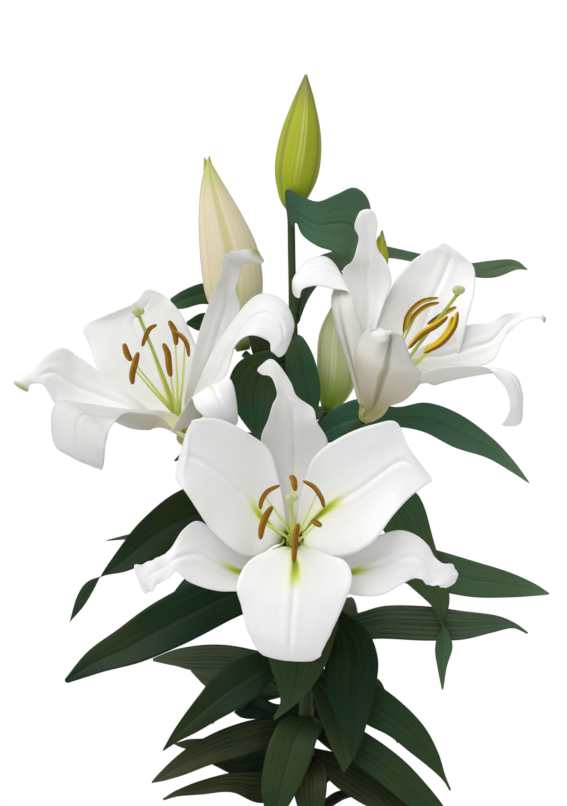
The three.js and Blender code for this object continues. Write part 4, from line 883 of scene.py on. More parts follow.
def build_crumbs(name, count, low, high, seed, material):
    """Crumbs of sizes from low to high, scattered over the soil by a rule with a fixed seed."""
    random = np.random.default_rng(seed)
    crumbs = []
    for _ in range(count):
        size = random.uniform(low, high)
        radius = math.sqrt(random.uniform(BARE_RADIUS**2, (soil_edge(SOIL_TOP) - BARE_RIM) ** 2))
        angle = random.uniform(0, 2 * math.pi)
        x, y = radius * math.cos(angle), radius * math.sin(angle)
        crumbs.append(lump(x, y, soil_height(x, y), size, random, material))
    return settle(joined(name, crumbs), "soil")


# The stem and its stalks
def ribbed(angle, t):
    """Faint ridges along the stem."""
    return 1 + 0.035 * np.cos(7 * angle + 2 * t) + 0.02 * np.sin(11 * angle + 30 * t)


def build_stem(material):
    stem = rod("stem_main", MAIN_STEM, steps=160, sides=40, materials=[material], shape=ribbed)
    settle(stem, "leafy_stem")
    for number, rows in enumerate(STALKS):
        name = f"stalk_{number + 1}"
        stalk = rod(name, rows, steps=40, sides=24, materials=[material], shape=ribbed)
        settle(stalk, "leafy_stem")


# The leaves: a V at the midrib, parallel veins and slightly waved edges
LEAF_ROWS = 64
LEAF_COLUMNS = 24
BRACT_ROWS = 80
BRACT_COLUMNS = 36
GUESSED_LEAF_WIDTH = 28
LEAST_LEAF_WIDTH = 0.8
LOW_LEAF_HEIGHT = 262


def leaf_width(t):
    """Narrow where it clasps the stem, widest before the middle, and drawn out to a point."""
    widest = 0.42
    growing = 0.3 + 0.7 * np.sin(0.5 * np.pi * np.minimum(t / widest, 1))
    shrinking = 1 - (np.maximum(t - widest, 0) / (1 - widest)) ** 2
    return np.where(t < widest, growing, shrinking)


def leaf_lift(number, pleat_depth):
    """Folded up at the midrib, waved at the edges and pleated along the veins."""
    def lift(t, s, half):
        edge = np.abs(s)
        fold = 0.15 * half * np.sqrt(s**2 + 0.004)
        wave = np.sin(2 * np.pi * 1.7 * t + number + 2 * (s > 0))
        wave += 0.4 * np.sin(2 * np.pi * 4.1 * t + 2 * number)
        pleated = 0.03 + pleat_depth * (1 - smooth(t, 0.15, 0.8))
        wandering = 2 * t + 0.9 * np.sin(7 * t + number + 2 * (s > 0))
        veins = pleated * np.cos(2 * np.pi * 3.5 * edge + wandering) * smooth(half, 2, 8)
        rib = -0.35 * hump(s * half, 0, 0.9) * (1 - smooth(t, 0.7, 1))
        return fold + 0.9 * wave * edge**2.5 * np.sin(np.pi * t) + veins + rib
    return lift


def build_leaf(name, number, edges, t, tone, materials):
    lift = leaf_lift(number, PLEAT_DEPTHS.get(tone, PLEAT_DEPTH))
    leaf = blade(name, edges, t, t, LEAF_COLUMNS, lift, LEAF_THICKNESS, materials)
    return settle(leaf, "leafy_stem")


def spine_edges(spine, width, faces, t):
    """The edges of a leaf that has its full width before the middle and a drawn-out tip."""
    places = np.linspace(0, 1, 3 * len(spine) + 1)
    widths = np.maximum(width * leaf_width(places), LEAST_LEAF_WIDTH)
    return edges_along(np.hstack([rows_at(spine, places), widths[:, None]]), faces, t)


def radial_spine(angle, height, length, drop):
    """Rises off the stem, arches over and lets its tip hang by the given drop."""
    turn = math.radians(angle)
    east, north = math.cos(turn), math.sin(turn)
    spine = [
        (east * out * length, north * out * length, height + rise * length)
        for out, rise in ((0, 0), (0.3, 0.14), (0.65, 0.12))
    ]
    spine.append((east * length, north * length, height - drop))
    part = np.array([(height - STEM_FOOT) / (STEM_TOP - STEM_FOOT)])
    spine[0] = (rows_at(MAIN_STEM, part)[0][0], 0, height)
    return spine, [UP, (0.5 * east, 0.5 * north, 0.7)]


# Each leaf's tone stands for how bright it looks: the upper and light tones, and the one after them, are
# painted light on leaves that catch the light; the dark tone is painted shade on leaves in shadow.
LEAVES_OF_TONE = {
    "upper": ("upper_right",),
    "light": ("right_long", "upper_right_long"),
    "paler_painted_light": ("upper_left", "centre_left", "centre_right", "right_twisted"),
    "greyish": ("left_level", "left_small_tip", "right_level"),
    "dark": (
        "big_left", "left_twisted", "front_dark", "left_dark_behind", "left_dark_low", "left_lower",
        "left_dark_tip",
    ),
}
PLEAT_DEPTH = 0.1
PLEAT_DEPTHS = {"greyish": 0.22, "low": 0.22}


def tone_of(name, height):
    """Leaves that catch the light get paler tones, as painted light, and some in shadow the dark tone, as
    painted shade; those at the foot of the stem are browner.
    """
    for tone, names in LEAVES_OF_TONE.items():
        if name in names:
            return tone
    return "low" if height < LOW_LEAF_HEIGHT else "middle"


def build_leaves(tones):
    t = spread(LEAF_ROWS, 1.2)
    leaves = []
    for name, rows in EDGE_LEAVES.items():
        values = rows_at(rows, t)
        leaves.append((name, (values[:, :3], values[:, 3:]), rows[0][2]))
    for name, leaf in SPINE_LEAVES.items():
        spine = leaf["spine"]
        leaves.append((name, spine_edges(spine, leaf["width"], leaf["faces"], t), spine[0][2]))
    for group, places in (("back", BACK_LEAVES), ("foot", FOOT_LEAVES)):
        for place, (angle, height, length, drop) in enumerate(places):
            spine, faces = radial_spine(angle, height, length, drop)
            edges = spine_edges(spine, GUESSED_LEAF_WIDTH, faces, t)
            leaves.append((f"{group}_{place + 1}", edges, height))
    for number, (name, edges, height) in enumerate(leaves):
        tone = tone_of(name, height)
        build_leaf(f"leaf_{name}", number, edges, t, tone, tones[tone])


def build_bract(materials):
    t = np.linspace(0, 1, BRACT_ROWS + 1)
    values = rows_at(BRACT, t)
    edges = values[:, :3], values[:, 3:6]

    def lift(t, s, half):
        wave = np.sin(2 * np.pi * 1.4 * t + 1 + 2.2 * (s > 0))
        veins = 0.02 * np.cos(2 * np.pi * 4 * s)
        return 0.8 * wave * s**2 * np.sin(np.pi * t) + veins - values[:, 6:7] * (1 - s**2)

    bract = blade("bract", edges, t, t, BRACT_COLUMNS, lift, LEAF_THICKNESS, materials)
    return settle(bract, "leafy_stem")


# The blooms: six tepals each, on a green base, with stamens and a pistil
TEPAL_ROWS = 110
TEPAL_COLUMNS = 44
DECIMETRE = 100
STIGMA_RADIUS = 4.2
STIGMA_HEIGHT = 3.4


def frilled(left, right, t, depth):
    """Both edges drawn in and out near the tip, to the given depth."""
    side = unit(right - left)
    near_tip = depth * smooth(t, 0.66, 0.82)
    left_frill = near_tip * (np.sin(2 * np.pi * 8.3 * t) + 0.5 * np.sin(2 * np.pi * 15 * t + 1))
    right_frill = near_tip * (np.sin(2 * np.pi * 7.4 * t + 2) + 0.5 * np.sin(2 * np.pi * 17 * t))
    return left - side * left_frill[:, None], right + side * right_frill[:, None]


def tepal_lift(number, sag, frill_depth):
    """Sagging between its edges, with a groove along the midrib, pleats, waves and a frilled tip."""
    def lift(t, s, half):
        edge = np.abs(s)
        right = s > 0
        free = np.sin(np.pi * t) ** 0.8
        opened = smooth(t, 0.12, 0.3) * (1 - smooth(t, 0.75, 0.95)) * smooth(half, 4, 12)
        wave = np.sin(2 * np.pi * 2.6 * t + number + 1.9 * right)
        frill = np.sin(2 * np.pi * 6.3 * t + 2.3 * number + 0.9 * right)
        waves = (1.1 * wave * edge**2.2 + 0.4 * frill * edge**4) * free
        groove = -0.6 * hump(s * half, 0, 1.4) * opened
        shoulders = 0.35 * hump(edge * half, 3.8, 2.4) * opened
        pleats = 0.07 * np.cos(2 * np.pi * 2.3 * edge + 0.5 * number + 2.5 * t) * opened
        curl = np.sin(2 * np.pi * 7.1 * t + 2.6 * s + number) * edge**1.5 * smooth(t, 0.62, 0.8)
        return waves + groove + shoulders + pleats + 1.3 * frill_depth * curl - sag[:, None] * (1 - edge**1.8)
    return lift


def tepal_rows(axis, edge_rows):
    """Rows of both edges and the sag between them; the first two stand round the bloom's base."""
    first_row = np.array(edge_rows[0], float)
    first = (first_row[:3] + first_row[3:6]) / 2
    height = first.dot(axis)
    outward = unit(first - axis * height)
    side = unit(np.cross(outward, axis))
    foot = (3, BASE_RADIUS - 1.5, 8)
    claw = (min(16, 0.6 * height), BASE_RADIUS + 1, 13)
    rows = []
    for distance, out, width in (foot, claw):
        centre = axis * distance + outward * out
        rows.append((*(centre - side * width / 2), *(centre + side * width / 2), 0.5))
    return rows + edge_rows


def moved(rows, origin):
    """Rows that start with a point, with that point moved by the origin."""
    return [(row[0] + origin[0], row[1] + origin[1], row[2] + origin[2], *row[3:]) for row in rows]


def tepal_finish(piece, traits, length, shared):
    """Most tepals share one finish; a few have a green tip, a wide groove or a factor of painted light and
    shade of their own.
    """
    own = {key: traits[key] for key in ("groove_width", "painted_shading") if key in traits}
    if "green_tip" in traits:
        own["tip_at"] = length
    return tepal_sides(piece, **own) if own else shared


def build_tepals(name, bloom, materials):
    axis = unit(np.array(bloom["axis"], float))
    origin = np.array(bloom["origin"], float)
    t = spread(TEPAL_ROWS, 1.15)
    for number, (part, edge_rows) in enumerate(bloom["tepals"].items()):
        piece = f"{name}_{part}"
        traits = TEPAL_TRAITS.get((name, part), {})
        values = rows_at(tepal_rows(axis, edge_rows), t)
        left, right = values[:, :3] + origin, values[:, 3:6] + origin
        steps = np.linalg.norm(np.diff((left + right) / 2, axis=0), axis=1)
        along = np.concatenate([[0], np.cumsum(steps)]) / DECIMETRE
        along += traits.get("shift", 0) * smooth(t, 0, 0.2)
        finish = tepal_finish(piece, traits, along[-1], materials)
        frill = traits.get("frill", 0)
        edges = frilled(left, right, t, frill)
        lift = tepal_lift(number, values[:, 6], frill)
        lean = traits.get("lean", 0)
        tepal = blade(piece, edges, t, along, TEPAL_COLUMNS, lift, TEPAL_THICKNESS, finish, lean)
        settle(tepal, f"bloom_{name}")


def base_shape(angle, t):
    """Six faint lobes, one for each tepal."""
    return 1 + 0.05 * np.cos(6 * angle)


def build_base(name, bloom, material):
    axis = unit(np.array(bloom["axis"], float))
    rows = [(*(axis * distance), radius) for distance, radius in ((0, 3.4), (4, 5.6), (BASE_LENGTH, 4.6))]
    rows = moved(rows, bloom["origin"])
    base = rod(f"{name}_base", rows, steps=24, sides=48, materials=[material], shape=base_shape)
    settle(base, f"bloom_{name}")


def anther_shape(angle, t):
    """Two long lobes with a groove between them, and blunt ends."""
    ends = np.sqrt(np.clip(1 - np.abs(2 * t - 1) ** 9, 0.02, 1))
    return ends * (0.9 + 0.14 * np.cos(2 * angle) - 0.34 * hump(np.cos(angle - 1.2), 1, 0.12))


def pistil_shape(angle, t):
    """Three rounded lobes."""
    return 1 + 0.06 * np.cos(3 * angle)


def build_stamens(name, bloom, finishes):
    """Filaments from the bloom's base to the middle of each anther, and the pistil among them."""
    axis = unit(np.array(bloom["axis"], float))
    node = f"stamens_{name}"
    root = axis * (BASE_LENGTH + 1.3 * SEAT_GAP)
    throat = np.array(bloom["throat"], float)
    for number, points in enumerate(bloom["anthers"]):
        middle = rows_at(points, np.array([0.5]))[0]
        seat = throat + 0.55 * (middle - throat)
        turn = 2 * math.pi * number / len(bloom["anthers"])
        aside = 1.6 * unit(np.cross(axis, (math.cos(turn), 0.3, math.sin(turn))))
        rows = [(*root, 1), (*(throat + aside), 1), (*(seat + aside), 0.85), (*middle, 0.5)]
        rows = moved(rows, bloom["origin"])
        skin = [finishes["filament"]]
        filament = rod(f"{name}_filament_{number + 1}", rows, steps=48, sides=14, materials=skin)
        settle(filament, node)
        thick = [1.5] + [2.1] * (len(points) - 2) + [1.5]
        rows = moved([(*point, radius) for point, radius in zip(points, thick)], bloom["origin"])
        skin = [finishes["anther"][name]]
        piece = f"{name}_anther_{number + 1}"
        anther = rod(piece, rows, steps=48, sides=32, materials=skin, shape=anther_shape)
        settle(anther, node)
    ovary = [(*root, 3), (*(0.7 * throat), 4.6), (*throat, 5.2), (*(1.18 * throat), 2)]
    rows = moved(ovary + bloom["style"], bloom["origin"])
    skin = [finishes["style"]]
    pistil = rod(f"{name}_pistil", rows, steps=70, sides=30, materials=skin, shape=pistil_shape)
    settle(pistil, node)
    build_stigma(name, bloom, finishes["stigma"])


def build_stigma(name, bloom, material):
    """A flat knob of three lobes."""
    x, y, z = np.array(bloom["stigma"], float) + bloom["origin"]
    rings, sides = 18, 42
    height = np.cos(np.linspace(np.pi - 0.05, 0.05, rings))[:, None] * np.ones(sides)
    angle = np.linspace(0, 2 * np.pi, sides, endpoint=False)[None, :]
    radius = np.sqrt(1 - height**2) * STIGMA_RADIUS * (1 + 0.16 * np.cos(3 * angle))
    dip = 0.9 * hump(radius, 0, 1.4) * (height > 0) + 0.4 * (np.cos(3 * angle) < -0.6) * (height > 0)
    tops = STIGMA_HEIGHT * height - dip
    grid = np.stack([x + radius * np.cos(angle), y + radius * np.sin(angle), z + 1 + tops], axis=-1)
    stigma = tube_object(f"{name}_stigma", grid, [material])
    settle(stigma, f"stamens_{name}")


# The buds: three outer tepals closed edge to edge
def bud_shape(angle, t):
    """Rounded lobes, with a sunken seam between each two and a double rib along the middle of each."""
    lobe = np.cos(3 * angle)
    seam = -0.06 * hump(lobe, -1, 0.16)
    rib = 0.035 * hump(lobe, 1, 0.12) - 0.03 * hump(lobe, 1, 0.015)
    pleats = 0.006 * np.cos(24 * angle)
    return 1 + smooth(t, 0, 0.2) * (0.045 * lobe + seam + rib + pleats)


def build_buds(materials):
    for name, bud in BUDS.items():
        turn = math.radians(bud["turn"])
        slot = f"bud_{bud['color']}"
        skin = [materials[slot]]
        closed = rod(f"{name}_closed", bud["rows"], 100, 96, skin, bud_shape, turn, bud["twist"])
        settle(closed, name)
    for name, tips in SPLIT_TIPS.items():
        for number, rows in enumerate(tips):
            skin = [materials["bud_green"]]
            tip = rod(f"{name}_tip_{number + 1}", rows, steps=30, sides=24, materials=skin)
            settle(tip, name)


# Shader nodes
class Shader:
    """A material with one Principled shader, whose colour is painted in layers, and calls for its nodes."""

    def __init__(self, name, roughness, specular, subsurface=0.0):
        self.material = bpy.data.materials.new(name)
        self.material.use_nodes = True
        self.nodes = self.material.node_tree.nodes
        self.links = self.material.node_tree.links
        self.principled = self.nodes["Principled BSDF"]
        self.set("Specular IOR Level", specular)
        self.set("Roughness", roughness)
        if subsurface:
            self.set("Subsurface Weight", subsurface)
            self.set("Subsurface Radius", (1.0, 0.9, 0.6))
            self.set("Subsurface Scale", 2 * MM)
        source = self.node("ShaderNodeUVMap", {}, uv_map="UVMap").outputs[0]
        self.u, self.v, _ = self.node("ShaderNodeSeparateXYZ", {0: source}).outputs
        self.color = None

    def put(self, value, socket):
        if isinstance(value, bpy.types.NodeSocket):
            self.links.new(value, socket)
        elif isinstance(value, tuple) and len(socket.default_value) == 4:
            socket.default_value = (*value, 1)
        else:
            socket.default_value = value

    def set(self, name, value):
        self.put(value, self.principled.inputs[name])

    def node(self, kind, inputs, **settings):
        made = self.nodes.new(kind)
        for key, value in settings.items():
            setattr(made, key, value)
        for key, value in inputs.items():
            self.put(value, made.inputs[key])
        return made

    def math(self, operation, first, second=0.0):
        return self.node("ShaderNodeMath", {0: first, 1: second}, operation=operation).outputs[0]

    def plus(self, first, second):
        return self.math("ADD", first, second)

    def times(self, first, second):
        return self.math("MULTIPLY", first, second)

    def step(self, value, low, high):
        """0 at low and 1 at high, eased between them; low may be the greater."""
        inputs = {"Value": value, "From Min": low, "From Max": high}
        return self.node("ShaderNodeMapRange", inputs, interpolation_type="SMOOTHSTEP").outputs[0]

    def along(self, low, high):
        """The same, for places along a blade or a rod: decimetres on a tepal, else from 0 to 1."""
        return self.step(self.v, low, high)

    def off_middle(self):
        """How far across a blade from its midrib, from 0 to 1."""
        return self.math("ABSOLUTE", self.math("SUBTRACT", self.times(self.u, 2.0), 1.0))

    def wave(self, value, count):
        return self.math("COSINE", self.times(value, 2 * math.pi * count))

    def texture(self, place, scale, detail):
        inputs = {"Vector": place, "Scale": scale, "Detail": detail}
        return self.node("ShaderNodeTexNoise", inputs).outputs[0]

    def noise(self, scale, detail=3.0, stretch=(1.0, 1.0, 1.0)):
        """Noise in the object's own space, repeating scale times in a metre."""
        place = self.nodes.new("ShaderNodeTexCoord").outputs["Object"]
        stretched = self.node("ShaderNodeVectorMath", {0: place, 1: stretch}, operation="MULTIPLY")
        return self.texture(stretched.outputs[0], scale, detail)

    def streaks(self, across, along):
        """Noise drawn out along a blade or a rod."""
        inputs = {"X": self.times(self.u, across), "Y": self.times(self.v, along)}
        return self.texture(self.node("ShaderNodeCombineXYZ", inputs).outputs[0], 1.0, 2.0)

    def mix(self, share, first, second):
        """The first colour where the share is 0, and the second where it is 1."""
        return self.node("ShaderNodeMix", {0: share, 6: first, 7: second}, data_type="RGBA").outputs[2]

    def ground(self, share, low, high):
        """The first layer of colour."""
        self.color = self.mix(share, low, high)

    def paint(self, color, *shares):
        """A layer over the colour so far, as dense as the product of the shares."""
        self.color = self.mix(reduce(self.times, shares), self.color, color)

    def finished(self, height=None, strength=0.0, distance=0.0):
        """The material in its painted colour, with a bump if it has a height."""
        self.set("Base Color", self.color)
        if height is not None:
            inputs = {"Height": height, "Strength": strength, "Distance": distance}
            self.set("Normal", self.node("ShaderNodeBump", inputs).outputs[0])
        return self.material


def scaled(color, factor):
    return tuple(factor * part for part in color)


# The tepals' colours, as linear red, green and blue
INSIDE_WHITES = (0.87, 0.87, 0.86), (0.93, 0.93, 0.925)
INSIDE_LINES = (0.74, 0.76, 0.7)
THROAT_GLOW = (0.88, 0.89, 0.3)
THROAT_YELLOW = (0.58, 0.66, 0.03)
THROAT_PALE = (0.84, 0.87, 0.5)
THROAT_GREEN = (0.22, 0.3, 0.01)
INSIDE_TIP = (0.36, 0.42, 0.16)
OUTSIDE_WHITES = (0.74, 0.73, 0.7), (0.83, 0.825, 0.8)
OUTSIDE_LINES = (0.66, 0.63, 0.5)
OUTSIDE_WARM = (0.74, 0.6, 0.36)
OUTSIDE_RIB = (0.27, 0.23, 0.09)
OUTSIDE_FOOT = (0.5, 0.47, 0.12)
OUTSIDE_TIP = (0.3, 0.38, 0.06)
# In decimetres, longer than any tepal
NO_GREEN_TIP = 9.0


def tepal_white(shader, whites, painted_shading, line_color, line_share):
    """Nearly even white with fine lines along it, scaled by the tepal's factor of painted light and shade."""
    low, high = whites
    shader.ground(shader.noise(18.0), scaled(low, painted_shading), scaled(high, painted_shading))
    shader.paint(line_color, shader.step(shader.streaks(46.0, 1.6), 0.5, 0.72), line_share)


def tepal_inside(name, tip_at, groove_width, painted_shading):
    """White, with a green groove in the throat that ends in yellow."""
    shader = Shader(name, roughness=0.5, specular=0.3, subsurface=0.2)
    middle = shader.off_middle()
    tepal_white(shader, INSIDE_WHITES, painted_shading, INSIDE_LINES, 0.12)
    shader.paint(THROAT_GLOW, shader.along(0.84, 0.45), shader.step(middle, 0.36, 0.04), 0.45)
    shader.paint(THROAT_YELLOW, shader.step(middle, groove_width, 0.04), shader.along(0.74, 0.58))
    # Partly painted light: the tepal's foot is pale green-white, made paler still so that the deep throat
    # does not look dark.
    shader.paint(THROAT_PALE, shader.along(0.42, 0.25), 0.8)
    shader.paint(THROAT_GREEN, shader.step(middle, 0.7 * groove_width, 0.03), shader.along(0.64, 0.48))
    shader.paint(INSIDE_TIP, shader.along(tip_at - 0.06, tip_at))
    height = shader.plus(shader.streaks(70.0, 2.0), shader.times(shader.noise(900.0), 0.3))
    return shader.finished(height, 0.25, 0.6 * MM)


def tepal_outside(name, tip_at, painted_shading):
    """White outside, warm and then olive towards the base, with a broad olive-brown midrib."""
    shader = Shader(name, roughness=0.55, specular=0.25, subsurface=0.2)
    middle = shader.off_middle()
    tepal_white(shader, OUTSIDE_WHITES, painted_shading, OUTSIDE_LINES, 0.2)
    shader.paint(OUTSIDE_WARM, shader.along(0.8, 0.3), 0.5)
    shader.paint(OUTSIDE_RIB, shader.step(middle, 0.16, 0.03), shader.along(1.3, 0.7), 0.65)
    shader.paint(OUTSIDE_FOOT, shader.along(0.38, 0.18), 0.7)
    shader.paint(OUTSIDE_TIP, shader.along(tip_at - 0.09, tip_at))
    return shader.finished(shader.streaks(70.0, 2.0), 0.25, 0.6 * MM)


def tepal_sides(name, tip_at=NO_GREEN_TIP, groove_width=0.14, painted_shading=1.0):
    """Both sides of a tepal; tip_at is the length in decimetres at which a green tip ends. The last argument
    darkens or brightens both sides as painted light and shade.
    """
    inside = tepal_inside(f"{name}_inside", tip_at, groove_width, painted_shading)
    return [inside, tepal_outside(f"{name}_outside", tip_at, painted_shading)]


# The leaves' colours: two greens, and how strong the veins and the pale tip are. The greens of the paler
# tones are painted light and those of the dark tone painted shade.
LEAF_COLORS = {
    "upper": ((0.053, 0.148, 0.085), (0.076, 0.15, 0.078), 0.05, 0.4),
    "light": ((0.042, 0.11, 0.058), (0.062, 0.108, 0.048), 0.2, 0.3),
    "paler_painted_light": ((0.028, 0.092, 0.04), (0.055, 0.09, 0.032), 0.25, 0.15),
    "greyish": ((0.048, 0.1, 0.052), (0.08, 0.105, 0.052), 0.9, 0.1),
    "middle": ((0.017, 0.05, 0.018), (0.036, 0.052, 0.013), 0.4, 0.05),
    "dark": ((0.005, 0.026, 0.009), (0.016, 0.03, 0.006), 0.4, 0.0),
    "low": ((0.018, 0.04, 0.013), (0.042, 0.047, 0.015), 0.95, 0.1),
}
PALE_LEAF_TIP = (0.2, 0.28, 0.17)


def leaf_side(name, cool, warm, veining, tip, roughness):
    """Green with browner patches, painted shade that darkens its foot by the stem, and wandering veins that
    deepen towards its foot.
    """
    shader = Shader(name, roughness, specular=0.14)
    dark = scaled(cool, 0.45)
    lines = shader.streaks(15.0, 0.8)
    shader.ground(shader.step(shader.noise(15.0, 4.0), 0.36, 0.66), cool, warm)
    shader.paint(scaled(warm, 1.5), shader.step(lines, 0.5, 0.7), 0.3)
    shader.paint(PALE_LEAF_TIP, shader.along(0.7, 1.0), tip)
    # Painted shade: darker towards the foot, where the leaf meets the stem.
    shader.paint(dark, shader.along(0.35, 0.02), 0.6)
    wandering = shader.plus(shader.u, shader.times(shader.noise(24.0, 2.0), 0.05))
    veins = shader.step(shader.wave(wandering, 7), 0.3, 1.0)
    broken = shader.step(shader.noise(50.0), 0.3, 0.62)
    near_foot = shader.times(shader.plus(shader.along(0.95, 0.25), 0.2), veining)
    shader.paint(dark, veins, broken, near_foot)
    shader.paint(dark, shader.step(shader.off_middle(), 0.07, 0.0), 0.5)
    height = shader.plus(lines, shader.times(shader.noise(260.0), 0.3))
    return shader.finished(height, 0.2, 0.5 * MM)


def leaf_tones():
    """For each tone of leaf, its upper side and its paler under side."""
    tones = {}
    for name, (cool, warm, veining, tip) in LEAF_COLORS.items():
        under = [tuple(1.3 * part + 0.004 for part in color) for color in (cool, warm)]
        upper_side = leaf_side(f"leaf_{name}_upper", cool, warm, veining, tip, roughness=0.45)
        under_side = leaf_side(f"leaf_{name}_under", *under, veining, tip, roughness=0.6)
        tones[name] = [upper_side, under_side]
    return tones


# The stem, the buds and the stamens
def stem_green():
    shader = Shader("stem_green", roughness=0.5, specular=0.3)
    shader.ground(shader.noise(60.0, 3.0, (1.0, 1.0, 0.15)), (0.018, 0.038, 0.007), (0.054, 0.092, 0.02))
    flecks = shader.step(shader.noise(420.0, 2.0, (1.0, 1.0, 0.4)), 0.58, 0.7)
    shader.paint((0.045, 0.02, 0.014), flecks, 0.25)
    return shader.finished(shader.noise(500.0, 2.0, (1.0, 1.0, 0.1)), 0.3, 0.4 * MM)


def base_green():
    """The green end of the stalk that the tepals grow from; its own green, lightened as painted light so that
    the deep throat does not look dark.
    """
    shader = Shader("bloom_base", roughness=0.5, specular=0.3)
    shader.ground(shader.noise(90.0), (0.36, 0.42, 0.06), (0.55, 0.6, 0.16))
    return shader.finished(shader.noise(600.0), 0.3, 0.4 * MM)


BUD_COLORS = {
    "bud_green": {
        "body": (0.42, 0.48, 0.006), "rib": (0.62, 0.67, 0.2), "seam": (0.2, 0.2, 0.09),
        "low": (0.36, 0.45, 0.006), "foot": (0.16, 0.23, 0.006),
    },
    "bud_cream": {
        "body": (0.82, 0.7, 0.53), "rib": (0.88, 0.82, 0.68), "seam": (0.5, 0.54, 0.12),
        "low": (0.84, 0.82, 0.44), "foot": (0.09, 0.15, 0.004),
    },
    "bud_pale": {
        "body": (0.7, 0.72, 0.4), "rib": (0.8, 0.8, 0.56), "seam": (0.36, 0.44, 0.08),
        "low": (0.25, 0.42, 0.004), "foot": (0.12, 0.2, 0.006),
    },
}


def bud_skin(name, body, rib, seam, low, foot):
    """A closed bud: a pale double rib along each lobe, darker seams, and another green at its foot."""
    shader = Shader(name, roughness=0.5, specular=0.18, subsurface=0.1)
    lobes = shader.wave(shader.u, 3)
    streak = shader.streaks(40.0, 1.0)
    shader.ground(shader.times(shader.noise(40.0, 4.0), 0.25), body, seam)
    shader.paint(rib, shader.step(streak, 0.45, 0.7), 0.16)
    shader.paint(low, shader.along(0.55, 0.15), 0.9)
    shader.paint(seam, shader.step(lobes, 0.66, 0.78), shader.step(lobes, 0.92, 0.8), 0.2)
    double_rib = shader.times(shader.step(lobes, 0.86, 0.98), shader.step(lobes, 1.0, 0.99))
    shader.paint(rib, double_rib, shader.along(0.15, 0.6), 0.6)
    shader.paint(seam, shader.step(lobes, -0.82, -0.99), 0.5)
    shader.paint(seam, shader.along(0.72, 1.0), 0.8)
    shader.paint(foot, shader.along(0.13, 0.0))
    return shader.finished(streak, 0.2, 0.6 * MM)


def filament_skin(name, foot, low, high):
    """Smooth and pale, greener at its foot."""
    shader = Shader(name, roughness=0.4, specular=0.35, subsurface=0.15)
    pale = shader.mix(shader.noise(200.0), low, high)
    shader.ground(shader.along(0.15, 0.7), foot, pale)
    return shader.finished(shader.streaks(8.0, 30.0), 0.2, 0.4 * MM)


def stigma_cream():
    shader = Shader("stigma", roughness=0.3, specular=0.5, subsurface=0.15)
    shader.ground(shader.noise(300.0), (0.46, 0.48, 0.14), (0.68, 0.68, 0.36))
    return shader.finished(shader.noise(1500.0), 0.4, 0.4 * MM)


POLLEN_SIDE = 0.36
POLLEN_SHARES = {"front": 0.15, "left": 0.15, "right": 0.9}


def anther_skin(name, pollen):
    """Rust-brown and powdery, with a share of yellow pollen along one side."""
    shader = Shader(name, roughness=0.95, specular=0.1)
    shader.ground(shader.noise(260.0), (0.16, 0.06, 0.006), (0.34, 0.14, 0.014))
    shader.paint((0.5, 0.26, 0.03), shader.step(shader.noise(1800.0, 2.0), 0.55, 0.68), 0.5)
    facing_side = shader.wave(shader.math("SUBTRACT", shader.u, POLLEN_SIDE), 1)
    shader.paint((0.8, 0.56, 0.03), shader.step(facing_side, 0.5, 0.85), pollen)
    return shader.finished(shader.noise(2200.0, 2.0), 0.8, 0.4 * MM)


def stamen_finishes():
    """The anthers of the right bloom have just opened, so they show more pollen."""
    return {
        "filament": filament_skin("filament", (0.46, 0.54, 0.04), (0.72, 0.76, 0.18), (0.84, 0.86, 0.34)),
        "style": filament_skin("style", (0.52, 0.6, 0.12), (0.42, 0.48, 0.05), (0.56, 0.6, 0.13)),
        "stigma": stigma_cream(),
        "anther": {name: anther_skin(f"anther_{name}", share) for name, share in POLLEN_SHARES.items()},
    }


# The pot, the soil and the floor
def fired_clay():
    """Mottled clay, chalky in places, with a fine grain."""
    shader = Shader("terracotta", roughness=0.85, specular=0.2)
    shader.ground(shader.noise(14.0, 5.0), (0.36, 0.11, 0.045), (0.5, 0.19, 0.09))
    chalk = shader.step(shader.noise(30.0, 6.0, (1.0, 1.0, 0.5)), 0.52, 0.75)
    shader.paint((0.58, 0.4, 0.3), chalk, 0.4)
    shader.paint((0.2, 0.08, 0.045), shader.step(shader.noise(700.0, 2.0), 0.66, 0.76), 0.5)
    height = shader.plus(shader.noise(260.0, 4.0), shader.noise(12.0, 2.0, (0.4, 0.4, 9.0)))
    return shader.finished(height, 0.35, 0.8 * MM)


def dark_soil():
    shader = Shader("soil", roughness=1.0, specular=0.1)
    shader.ground(shader.noise(120.0, 5.0), (0.018, 0.011, 0.007), (0.085, 0.05, 0.03))
    return shader.finished(shader.noise(500.0, 4.0), 1.0, 2 * MM)


def pale_grit():
    shader = Shader("grit", roughness=0.9, specular=0.2)
    shader.ground(shader.noise(200.0), (0.45, 0.42, 0.36), (0.76, 0.73, 0.66))
    return shader.finished(shader.noise(900.0), 0.5, 0.5 * MM)


def floor_white():
    shader = Shader("floor", roughness=0.9, specular=0.1)
    shader.ground(shader.noise(3.0), (0.9, 0.9, 0.9), (0.93, 0.93, 0.93))
    return shader.finished()


# The studio: a pale floor, soft light and the viewer's camera
CAMERA_PLACE = (-0.01575, -2.0, 0.482)
CAMERA_LENS = 127.6
NEAREST_SEEN = 0.05
GROUND_RADIUS = 1300
GROUND_SIDES = 96
KEY_FROM = (-0.4, -0.5, 0.95)
KEY_STRENGTH = 2.2
KEY_SOFTNESS = 60
SKY_STRENGTH = 0.46


def build_floor():
    points = [(x, y, 0) for x, y in circle(0, 0, GROUND_RADIUS, GROUND_SIDES)]
    face = list(range(GROUND_SIDES))
    floor = mesh_object("floor", points, [face], np.zeros((GROUND_SIDES, 2)), [floor_white()])


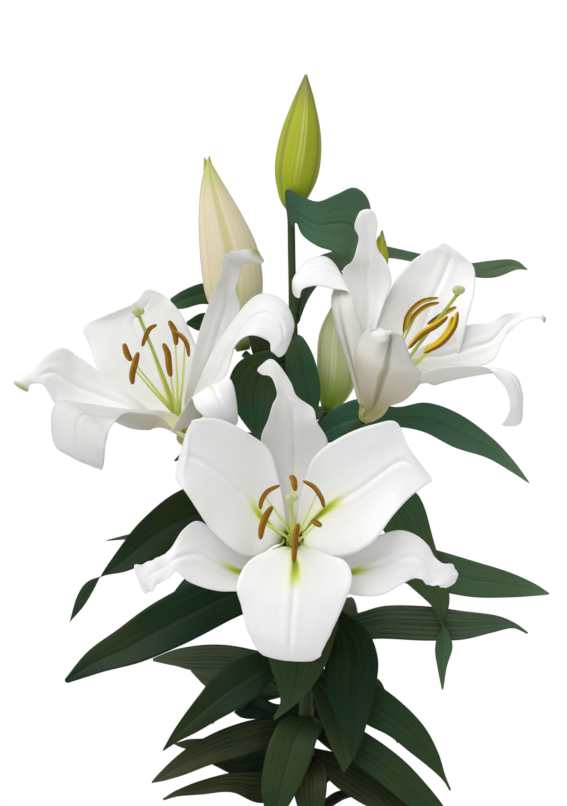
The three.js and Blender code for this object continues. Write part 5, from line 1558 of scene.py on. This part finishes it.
def place_camera():
    camera = added("camera", bpy.data.cameras.new("camera"))
    camera.location = CAMERA_PLACE
    camera.rotation_euler = (math.radians(90), 0, 0)
    camera.data.lens = CAMERA_LENS
    camera.data.clip_start = NEAREST_SEEN
    bpy.context.scene.camera = camera


def place_key_light():
    key = added("key", bpy.data.lights.new("key", "SUN"))
    key.data.energy = KEY_STRENGTH
    key.data.angle = math.radians(KEY_SOFTNESS)
    key.rotation_euler = Vector(KEY_FROM).to_track_quat("Z", "Y").to_euler()


def build_sky():
    """Even light from all round, in front of a white background."""
    world = bpy.data.worlds.new("studio")
    bpy.context.scene.world = world
    world.use_nodes = True
    nodes, links = world.node_tree.nodes, world.node_tree.links
    light = nodes["Background"]
    light.inputs["Color"].default_value = (1, 1, 1, 1)
    light.inputs["Strength"].default_value = SKY_STRENGTH
    seen = nodes.new("ShaderNodeBackground")
    seen.inputs["Color"].default_value = (1, 1, 1, 1)
    either = nodes.new("ShaderNodeMixShader")
    links.new(nodes.new("ShaderNodeLightPath").outputs["Is Camera Ray"], either.inputs[0])
    links.new(light.outputs[0], either.inputs[1])
    links.new(seen.outputs[0], either.inputs[2])
    links.new(either.outputs[0], nodes["World Output"].inputs["Surface"])


# The whole plant in its pot
def build_plant():
    build_pot(fired_clay())
    soil = dark_soil()
    build_soil(soil)
    build_crumbs("soil_crumbs", count=620, low=0.8, high=3.4, seed=5, material=soil)
    build_crumbs("soil_grit", count=90, low=0.7, high=2.2, seed=8, material=pale_grit())
    build_stem(stem_green())
    tones = leaf_tones()
    build_leaves(tones)
    build_bract(tones["upper"])
    tepals = tepal_sides("tepal")
    finishes = stamen_finishes()
    base = base_green()
    for name, bloom in BLOOMS.items():
        build_tepals(name, bloom, tepals)
        build_base(name, bloom, base)
        build_stamens(name, bloom, finishes)
    build_buds({name: bud_skin(name, **colors) for name, colors in BUD_COLORS.items()})


bpy.context.scene.view_settings.view_transform = "Standard"
place_camera()
place_key_light()
build_sky()
build_floor()
build_plant()
